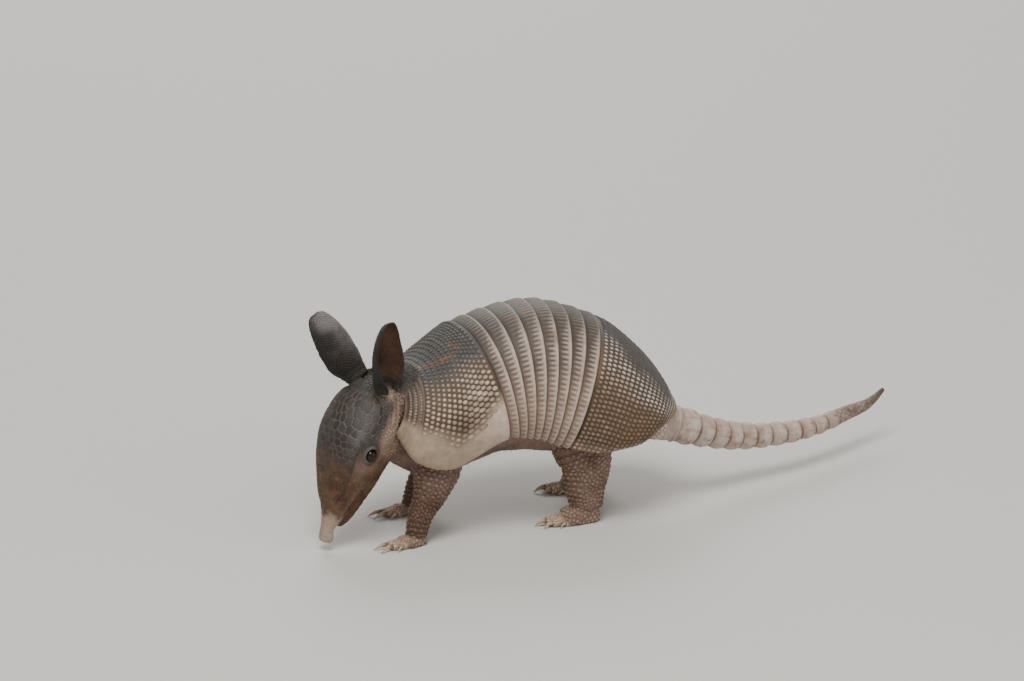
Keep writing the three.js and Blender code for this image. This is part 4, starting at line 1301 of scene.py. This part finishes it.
def head_sources():
    rows, angle = loops(SKULL[0][0], HEAD_LENGTH + NOSE_PAD, 178, 190)
    angle = np.where(angle > 180, angle - 360, angle)
    off = np.abs(angle)
    s = np.minimum(rows, HEAD_LENGTH)
    inward = rows - s  # rows past the head's end close the nose pad
    mouth = -0.9 * hump(off, 116, 5) * step(36, 42, s) * step(62, 58, s)
    brow = 0.5 * hump(s, 24, 7) * hump(off, 62, 12)
    jowl = 0.7 * hump(s, 10, 8) * hump(off, 108, 22)
    snout = 0.25 * np.cos(2 * math.pi * s / 2.6) * step(60, 63, s) * step(70, 67, s)
    nostril = hump(inward, 0.75, 0.6) * hump(off, NOSTRIL_AT, 24) * (inward > 0)
    height = -COAT + lids(s, angle) + mouth + brow + jowl + 0.35 * snout - inward
    points = head_point(SKULL, s, angle, height) - 1.1 * nostril[..., None] * FORWARD
    rear = step(15, 9, s) * step(66, 84, off)
    fold = 0.1 + 0.12 * step(40, 50, s) + 0.65 * rear
    hairy = step(22, 8, s) * step(80, 100, off) + 0.25 * step(30, 45, s) * step(60, 56, s)
    bare = at(SCALES_REACH, s)[..., 0] - 1
    scaly = np.where((off > bare) & (np.hypot(*eye_distance(s, angle)) > 7.5) & (s < 25), 1.55, 0)
    scaly = np.where(s < -0.8, 1.8, scaly)
    to_head = unit(np.array(NECK[-1][:3]) - np.array(NECK[0][:3]))
    run = np.where(rear > 0.5, points @ to_head, s)
    # The nostrils are painted dark in their dents: painted shade of their openings.
    colour = coats(head_tint(s, angle, points), ("liver", 0.45, 0.92 * np.clip(1.3 * nostril, 0, 1)))
    add_source(points, colour, run, fold, 2.6, 0, hairy, scaly)
    s, angle = loops(JAW[0][0], JAW[-1][0], 110, 120)
    points = head_point(JAW, s, angle, -COAT)
    field = mottle(points, 5, 83)
    lips = muzzle_colour(points, np.ones_like(s))
    colour = blend(linear("rose") * 0.7, lips, step(20, 32, s + 3 * field))
    colour = coats(colour, ("liver", 0.8, 0.6 * step(52, 60, s)))
    add_source(points, colour, s, 0.25, 3.0, 1, 0.7 * step(40, 20, s), np.where(s < 25, 1.6, 0))


def ear_point(ear, f, a, inner):
    """A point of an ear: f runs to its tip, a is -1 and 1 on its edges, inner is 1 on its hollow side."""
    def way(p):
        return p[0] * FORWARD + p[1] * DORSAL + ear["side"] * p[2] * LEFTWARD

    axis = unit(way(ear["points"]))
    opens = way(ear["opens"])
    opens = unit(opens - opens.dot(axis) * axis)
    across = np.cross(axis, opens)
    base = EAR["base"]
    root = in_head(base[0], base[1], ear["side"] * base[2])
    wide, half = np.moveaxis(at(EAR_FORM, f), -1, 0)
    reach = np.minimum(np.radians(half), math.pi * 0.83)
    radius = EAR["width"] * wide / np.sin(np.minimum(reach, math.pi / 2))
    centre = root + (f * EAR["length"] - 3)[..., None] * axis + (0.55 * radius)[..., None] * opens
    r = radius - inner * EAR["wall"]
    turn = reach * a
    return centre - (r * np.cos(turn))[..., None] * opens + (r * np.sin(turn))[..., None] * across


EAR_SHADE = {"left": 0.2, "right": -0.8}  # which edge of an ear's back is the darker one
EAR_LIGHT = {"left": -0.7, "right": 0.0}  # how light its back is
EAR_SIDE = 34  # points across its back and across its hollow


def ear_source(name, tile):
    """A rolled leaf; each row of points goes round its back and then back again round its hollow."""
    f = np.linspace(0, 1, 84)
    a = np.concatenate([np.linspace(-1, 1, EAR_SIDE), np.linspace(1, -1, EAR_SIDE)])
    inner = np.concatenate([np.full(EAR_SIDE, -0.12), np.full(EAR_SIDE, 1.05)])
    f, a = np.meshgrid(f, a, indexing="ij")
    inner = np.broadcast_to(inner, f.shape)
    points = ear_point(EARS[name], f, a, inner)
    field = grains(points, 7, 1.6, 84)
    lit = 0.35 * field + 1.4 * f - 0.32 + 0.9 * a * EAR_SHADE[name] + EAR_LIGHT[name]
    back = coats(linear("dusk") * 0.55, ("lavender", 1.3, step(-0.1, 1.2, lit)))
    hollow = coats(linear("liver") * 0.5, ("liver", 1.2, step(-0.7, 0.9, field - 0.8 * f + 0.5)))
    # painted shadow down the middle of the hollow, towards its base
    hollow = hollow * (1 - 0.55 * hump(a, 0.15, 0.3) * step(0.75, 0.35, f))[..., None]
    hollow = coats(hollow, ("rose", 0.5, step(0.3, 0.1, f) * 0.5))
    rim = step(0.9, 0.99, np.abs(a)) + step(0.95, 1.0, f)
    colour = coats(
        blend(back, hollow, step(0.3, 0.6, inner)),
        ("coal", 1.3, np.clip(rim, 0, 0.85)),
        ("ash", 0.9, step(0.16, 0.04, f) * 0.8),
    )
    scaly = np.where((inner < 0.3) & (np.abs(a) < 0.9) & (f > 0.06) & (f < 0.96), 1.15, 0)
    add_source(points, colour, f * EAR["length"], 0.03 + 0.25 * step(0.3, 0.1, f), 2.4, tile, 0, scaly)


HIDDEN_TOP = 0.75  # how high the skin rises under the carapace


def trunk_source():
    place, angle = loops(0.12, 2.9, 190, 120)
    tx, tz, bx, bz, half = np.moveaxis(at(HOOPS, place), -1, 0)
    hang = at(BELLY, place)[..., 0]
    height = np.hypot(tx - bx, tz - bz)
    turn = np.radians(angle)
    side, rise = np.sin(turn), np.cos(turn)
    narrow = np.where(rise < 0, 1 + BELLY_TUCK * rise, 1)
    y = (half - TRUNK_ROOM) * narrow * np.sign(side) * np.abs(side) ** FULLNESS
    upper = HIDDEN_TOP * (height * (1 - WIDEST_AT) - TRUNK_ROOM) * np.maximum(rise, 0) ** FULLNESS
    lower = (height * WIDEST_AT + hang - COAT) * np.minimum(rise, 0)
    share = (height * WIDEST_AT + upper + lower) / height
    points = bent(bx + (tx - bx) * share, y, bz + (tz - bz) * share)
    colour = coats(linear("rose") * 0.68, ("taupe", 0.55, step(-0.6, 0.9, mottle(points, 9, 86))))
    run = place * 45  # about as long in millimetres
    add_source(points, colour, run, 0.3, 4.2, 4, step(0.1, -0.3, rise), 0, step(-0.05, 0.15, rise))


def limb_sources():
    table = by_length(NECK)
    d, angle = loops(0, table[-1, 0], 70, 140)
    points = limb_point(table, d, angle, -COAT)
    field = mottle(points, 6, 87)
    colour = coats(linear("ash"), ("rose", 0.7, step(40, 100, off_top(angle) + 12 * field)))
    add_source(points, colour, d, 0.75, 2.4, 5, 0.25, 1.7)
    rump, angle = loops(0, RING_START, 50, 110)
    points = limb_point(TAIL_TABLE, rump, angle, -0.1 - 0.5 * step(RING_START - 3, RING_START, rump))
    pale = step(1, 6, rump + 1.5 * mottle(points, 4, 78))
    colour = coats(linear("rose") * 0.85, ("shell_pink", 0.95, pale))
    add_source(points, colour, rump, 0.25, 3.4, 10, 0.1, np.where(rump < RING_START - 6, 1.9, 0))
    for tile, (name, stations) in enumerate(LEGS.items(), start=6):
        table = by_length(stations)
        d, angle = loops(0, table[-1, 0], 80, 110)
        points = limb_point(table, d, angle, -COAT, (0, 1, 0))
        field = grains(points, 6, 2.2, 88)
        colour = coats(linear("rose") * 0.66, ("earth", 0.7, step(-0.3, 1.1, field)))
        # painted shade: the legs are darkened, the forelegs most
        if name.startswith("fore"):
            upper = coats(linear("rose") * 0.8, ("liver", 1.2, step(18, 32, d + 3 * field)))
            colour = 0.88 * blend(colour, upper, 0.6) * 0.8
        else:
            colour = colour * 0.9
        add_source(points, colour, d, 0.45, 2.2, tile, 0.06, 2.1 - 0.4 * step(15, 42, d))


def bar(a, b, size_a, size_b, sides=40):
    """A blunt-ended bar between two points, its half-width and half-height given at both ends."""
    way = unit(b - a)
    side = unit(np.cross(way, [0, 0, 1]))
    up = np.cross(side, way)
    length = np.linalg.norm(b - a)
    straight = np.linspace(0, 1, max(4, int(length / 0.7)))
    f = np.concatenate([np.linspace(-1, 0, 8)[:-1], straight[:-1], np.linspace(1, 2, 8)])
    shares = np.clip(f, 0, 1)
    over = np.where(f < 0, -f, np.where(f > 1, f - 1, 0))
    wide = size_a[0] + (size_b[0] - size_a[0]) * shares
    high = size_a[1] + (size_b[1] - size_a[1]) * shares
    round_off = np.sqrt(np.clip(1 - 0.97 * over**2, 0, 1))
    ends = np.where(f < 0, -1, np.where(f > 1, 1, 0)) * np.sin(over * math.pi / 2) * high * 0.75
    turn = np.arange(sides) * 2 * math.pi / sides
    centre = a + (shares * length + ends)[:, None] * way
    ring_side = (wide * round_off)[:, None] * np.cos(turn)
    ring_up = (high * round_off)[:, None] * np.sin(turn)
    return centre[:, None] + ring_side[..., None] * side + ring_up[..., None] * up


def foot_sources():
    for name, foot in FEET.items():
        forwards = heading(foot["heading"])
        high, half = foot["high"], foot["half"]
        heel = np.array([*foot["heel"], high * 0.42])
        front = heel + 0.62 * foot["length"] * forwards
        front[2] = high * 0.3
        paw = bar(heel, front, (half * 0.84 - COAT, high * 0.6 - COAT), (half - COAT, high * 0.48 - COAT))
        tint = coats(linear("rose") * 0.8, ("cream", 0.75, step(-0.5, 0.8, mottle(paw, 5, 90))))
        add_source(paw, tint * 0.7, paw @ forwards, 0.2, 2.2, 12, 0, 1.95)
        toes = toes_of(name)
        for i, (_, _, radius, _) in enumerate(toes):
            _, root, knuckle, _ = toe(foot, toes, i)
            thick = radius - 0.12
            digit = bar(root, knuckle, (1.2 * thick, 1.35 * thick), (thick, thick), 26)
            lie = np.linspace(0, 1, digit.shape[0])[:, None] * np.ones(digit.shape[1])
            bulge = 1 + 0.08 * np.cos(lie * 3 * 2 * math.pi)
            middle = digit.mean(1, keepdims=True)
            digit = middle + (digit - middle) * bulge[..., None]
            tint = coats(linear("rose") * 0.85, ("cream", 0.85, step(0.2, 0.9, lie)))
            add_source(digit, tint, lie * 12, 0.14, 1.9, 13, 0, 1.3)


# ---------------------------------------------------------------- the skin
def neighbours_mean(values, edges, counts):
    """The mean of the values at each point's neighbours."""
    total = np.zeros_like(values)
    for k in range(values.shape[1]):
        total[:, k] = (np.bincount(edges[:, 0], values[edges[:, 1], k], len(values))
                       + np.bincount(edges[:, 1], values[edges[:, 0], k], len(values)))
    return total / counts[:, None]


def read(collection, field, width, kind=float):
    """A field of a mesh's points or edges as an array."""
    out = np.empty(len(collection) * width, kind)
    collection.foreach_get(field, out)
    return out.reshape(-1, width)


def move_points(mesh, points):
    """Put a mesh's points in place and give their normals."""
    mesh.vertices.foreach_set("co", in_metres(points).ravel())
    mesh.update()
    return read(mesh.vertex_normals, "vector", 3)


def tree_of(points):
    tree = kdtree.KDTree(len(points))
    for i, point in enumerate(points):
        tree.insert(point, i)
    tree.balance()
    return tree


def union_of_sources():
    """All sources as one voxel skin."""
    points, faces, offset = [], [], 0
    for flat, some, _ in sources:
        points.append(flat)
        faces += [[k + offset for k in face] for face in some]
        offset += len(flat)
    skin = new_object("skin", np.vstack(points), faces, SKIN_FINISH)
    remesh = skin.modifiers.new("union", "REMESH")
    remesh.mode = "VOXEL"
    remesh.voxel_size = VOXEL * MM
    remesh.use_smooth_shade = True
    bake(skin)
    return skin


def bake(made):
    """Put an object's modifiers into its mesh."""
    ready = made.evaluated_get(bpy.context.evaluated_depsgraph_get())
    solid = bpy.data.meshes.new_from_object(ready)
    made.modifiers.clear()
    made.data = solid


SKIN_TRIANGLES = 190_000  # the skin is thinned out to no more triangles than this; the most that the skin may have


def make_skin():
    """The skin, and what each of its points says, as it is before its mesh is thinned out."""
    head_sources()
    ear_source("left", 2)
    ear_source("right", 3)
    trunk_source()
    limb_sources()
    foot_sources()
    skin = union_of_sources()
    mesh = skin.data
    edges = read(mesh.edges, "vertices", 2, np.int32)
    counts = np.bincount(edges.ravel(), minlength=len(mesh.vertices)).astype(float)
    points = read(mesh.vertices, "co", 3) / MM + ORIGIN
    tree = tree_of(np.vstack([flat for flat, _, _ in sources]))
    nearest = np.array([tree.find(p)[1] for p in points])
    mine = {key: np.vstack([spread[key] for _, _, spread in sources])[nearest] for key in KEYS}
    for _ in range(6):
        for share in (0.55, -0.57):  # in and out again, which smooths without shrinking
            points = points + share * (neighbours_mean(points, edges, counts) - points)
    for _ in range(3):
        for key in ("tint", "fold", "along", "period", "hairy"):
            mine[key] = 0.5 * mine[key] + 0.5 * neighbours_mean(mine[key], edges, counts)
    stand = move_points(mesh, points)
    turn = math.pi * (mine["along"] + 0.9 * mottle(points, 7, 91)[:, None])
    wave = np.abs(np.sin(turn / mine["period"]))[:, 0]  # 0 in a fold's valley and 1 on its crest
    depth = mine["fold"][:, 0] * (0.75 + 0.35 * mottle(points, 8, 92))
    height = depth * (wave - 0.64) + 0.09 * mottle(points, 2.2, 93)
    points = points + height[:, None] * stand
    points[:, 2] = np.maximum(points[:, 2], 0)
    # painted shade darkens the valleys of the folds
    valley = step(0.35, 0.0, wave) * step(0.1, 0.4, depth)
    tint = mine["tint"] * (1 - (0.35 + 0.38 * step(0.4, 0.7, depth)) * valley)[:, None]
    tinted(skin, tint)
    stand = move_points(mesh, points)
    crest = np.where(depth > 0.3, wave, 1)
    surface = {"at": points, "stand": stand, "tint": tint, "root": mine["root"], "crest": crest}
    for key in ("along", "hairy", "scaly", "hidden"):
        surface[key] = mine[key][:, 0]
    thin_out(skin, surface["hidden"])
    return skin, surface


def sown(points, along, spacing):
    """Points at least their own spacing apart, in order along the limb, and the way along it at each."""
    tree = tree_of(points)
    free = np.ones(len(points), bool)
    chosen, ways = [], []
    for i in np.argsort(along):
        if free[i]:
            near = np.array([k for _, k, _ in tree.find_range(points[i], spacing[i])])
            free[near] = False
            chosen.append(i)
            ways.append(((along[near] - along[i])[:, None] * (points[near] - points[i])).sum(0))
    return np.array(chosen), unit(np.array(ways) + [0, 0, -1e-6])


SCALE_SIZE = (0.85, 0.98, 0.2)  # along the limb, across it and outwards, as shares of a scale's room


def hide_scales(name, surface, wanted, tone, seed):
    """Small round scales, packed in rows across the limb, over the wanted part of the skin."""
    above_floor = (surface["at"][:, 2] > 1.0) & (surface["stand"][:, 2] > -0.75)
    scaly = (surface["scaly"] > 0) & (surface["hidden"] < 0.2) & (surface["crest"] > 0.78)
    here = picked(surface, np.flatnonzero(wanted & scaly & above_floor))
    chosen, lie = sown(here["at"], here["along"], 0.9 * here["scaly"])
    here = picked(here, chosen)
    size = [share * here["scaly"] for share in SCALE_SIZE]
    spots = {"at": here["at"] - 0.06 * here["stand"], "stand": here["stand"], "lie": lie,
             "root": here["root"], "tint": here["tint"] * tone, "size": np.stack(size, -1)}
    finish(studs(name, spots, PEBBLE, SCALE_FINISH, 0.14, 0.16, seed), "skin")


HAIR_SPACING = 2.4
HAIR_THICK = 0.11


def hairs(surface):
    """Sparse pale bristles on the belly, the cheeks and the legs."""
    chance = np.random.default_rng(8).uniform(0, 1, len(surface["at"]))
    some = (chance < surface["hairy"]) & (surface["hidden"] < 0.2) & (surface["at"][:, 2] > 6)
    here = picked(surface, some)
    chosen, _ = sown(here["at"], mottle(here["at"], 1.0, 95), np.full(some.sum(), HAIR_SPACING))
    here = picked(here, chosen)
    lean = unit(here["stand"] + [0.35, 0.0, -0.9])
    count = len(chosen)
    length = 2.6 + 0.9 * np.random.default_rng(9).uniform(-1, 1, count)
    thick = np.full(count, HAIR_THICK)
    size = np.stack([thick, thick, length], -1)
    spots = {"at": here["at"] - 0.15 * here["stand"], "stand": lean, "lie": here["stand"],
             "root": here["root"], "tint": np.tile(linear("cream") * 0.8, (count, 1)), "size": size}
    finish(studs("bristles", spots, HAIR, HAIR_FINISH, 0.15, 0.2, 10), "skin")


HIDDEN_KEPT = 0.3  # share of the skin's faces that stay where the shell hides them


def thin_out(skin, hidden):
    """Fewer faces where the shell hides the skin, and then as few everywhere as a piece may have."""
    group = skin.vertex_groups.new(name="hidden")
    group.add(np.flatnonzero(hidden > 0.6).tolist(), 1.0, "REPLACE")
    thinner = skin.modifiers.new("thinner_inside", "DECIMATE")
    thinner.ratio = 1 - (1 - HIDDEN_KEPT) * np.mean(hidden > 0.6)
    thinner.vertex_group = "hidden"
    bake(skin)
    skin.vertex_groups.clear()
    triangles = sum(len(face.vertices) - 2 for face in skin.data.polygons)
    if triangles > SKIN_TRIANGLES:
        thinner = skin.modifiers.new("thinner", "DECIMATE")
        thinner.ratio = SKIN_TRIANGLES / triangles
        bake(skin)


# ---------------------------------------------------------------- stage
FLOOR_REACH = 6.0
# name, place, size and power
LAMPS = [
    ("key", (-0.5, -0.8, 1.7), 0.9, 30),
    ("fill", (1.1, -1.3, 0.7), 1.4, 7),
    ("rim", (0.2, 1.4, 1.1), 1.0, 15),
]


def stage():
    """A pale floor, a soft sky and three lamps."""
    floor_mesh = bpy.data.meshes.new("floor")
    x = FLOOR_REACH
    floor_mesh.from_pydata([(-x, -x, 0), (x, -x, 0), (x, x, 0), (-x, x, 0)], [], [(0, 1, 2, 3)])
    floor = in_scene("floor", floor_mesh)
    paper = bpy.data.materials.new("pale_paper")
    paper.use_nodes = True
    shader = paper.node_tree.nodes["Principled BSDF"]
    shader.inputs["Base Color"].default_value = (0.62, 0.61, 0.59, 1)
    shader.inputs["Roughness"].default_value = 0.9
    floor_mesh.materials.append(paper)

    world = bpy.data.worlds.new("studio")
    world.use_nodes = True
    sky = world.node_tree.nodes["Background"]
    sky.inputs["Color"].default_value = (1.0, 0.985, 0.96, 1)
    sky.inputs["Strength"].default_value = 0.45
    bpy.context.scene.world = world

    aim = Vector((0.0, 0.0, 0.04))
    for name, place, size, power in LAMPS:
        lamp = bpy.data.lights.new(name, "AREA")
        lamp.color = (1.0, 0.965, 0.92)
        lamp.size = size
        lamp.energy = power
        held = in_scene(name, lamp)
        held.location = place
        held.rotation_euler = (aim - Vector(place)).to_track_quat("-Z", "Y").to_euler()


CAMERA_AZIMUTH = -18
CAMERA_ELEVATION = 18
CAMERA_AIM = (-0.0390, 0.0195, 0.0726)
CAMERA_REACH = 5.0
CAMERA_LENS = 390.6


def camera():
    azimuth, elevation = math.radians(CAMERA_AZIMUTH), math.radians(CAMERA_ELEVATION)
    level = math.cos(elevation)
    back = Vector((math.sin(azimuth) * level, -math.cos(azimuth) * level, math.sin(elevation)))
    data = bpy.data.cameras.new("camera")
    data.lens = CAMERA_LENS
    data.sensor_width = 36
    data.clip_end = 50
    held = in_scene("camera", data)
    held.location = Vector(CAMERA_AIM) + CAMERA_REACH * back
    held.rotation_euler = back.to_track_quat("Z", "Y").to_euler()
    bpy.context.scene.camera = held


# ---------------------------------------------------------------- the animal
FLESH = ["head", "neck", "trunk", "ear_left", "ear_right", *LEGS, *FEET]
LEG_TOP = 45  # scales of the skin that lie lower than this are the legs' and the tail root's
HEAD_SCALE_TONE = 1.42  # how much lighter scales are than the skin under them
LEG_SCALE_TONE = 1.75

camera()
stage()
skin, surface = make_skin()
finish(skin, "skin", *FLESH)
high = surface["at"][:, 2] > LEG_TOP
hide_scales("head_hide_scales", surface, high, HEAD_SCALE_TONE, 11)
hide_scales("leg_hide_scales", surface, ~high, LEG_SCALE_TONE, 12)
hairs(surface)
carapace()
head_plate()
eyes()
tail_rings()
for name, foot in FEET.items():
    claws(name, foot)
for shape in (DOME, PEBBLE, HAIR):
    bpy.data.objects.remove(shape)
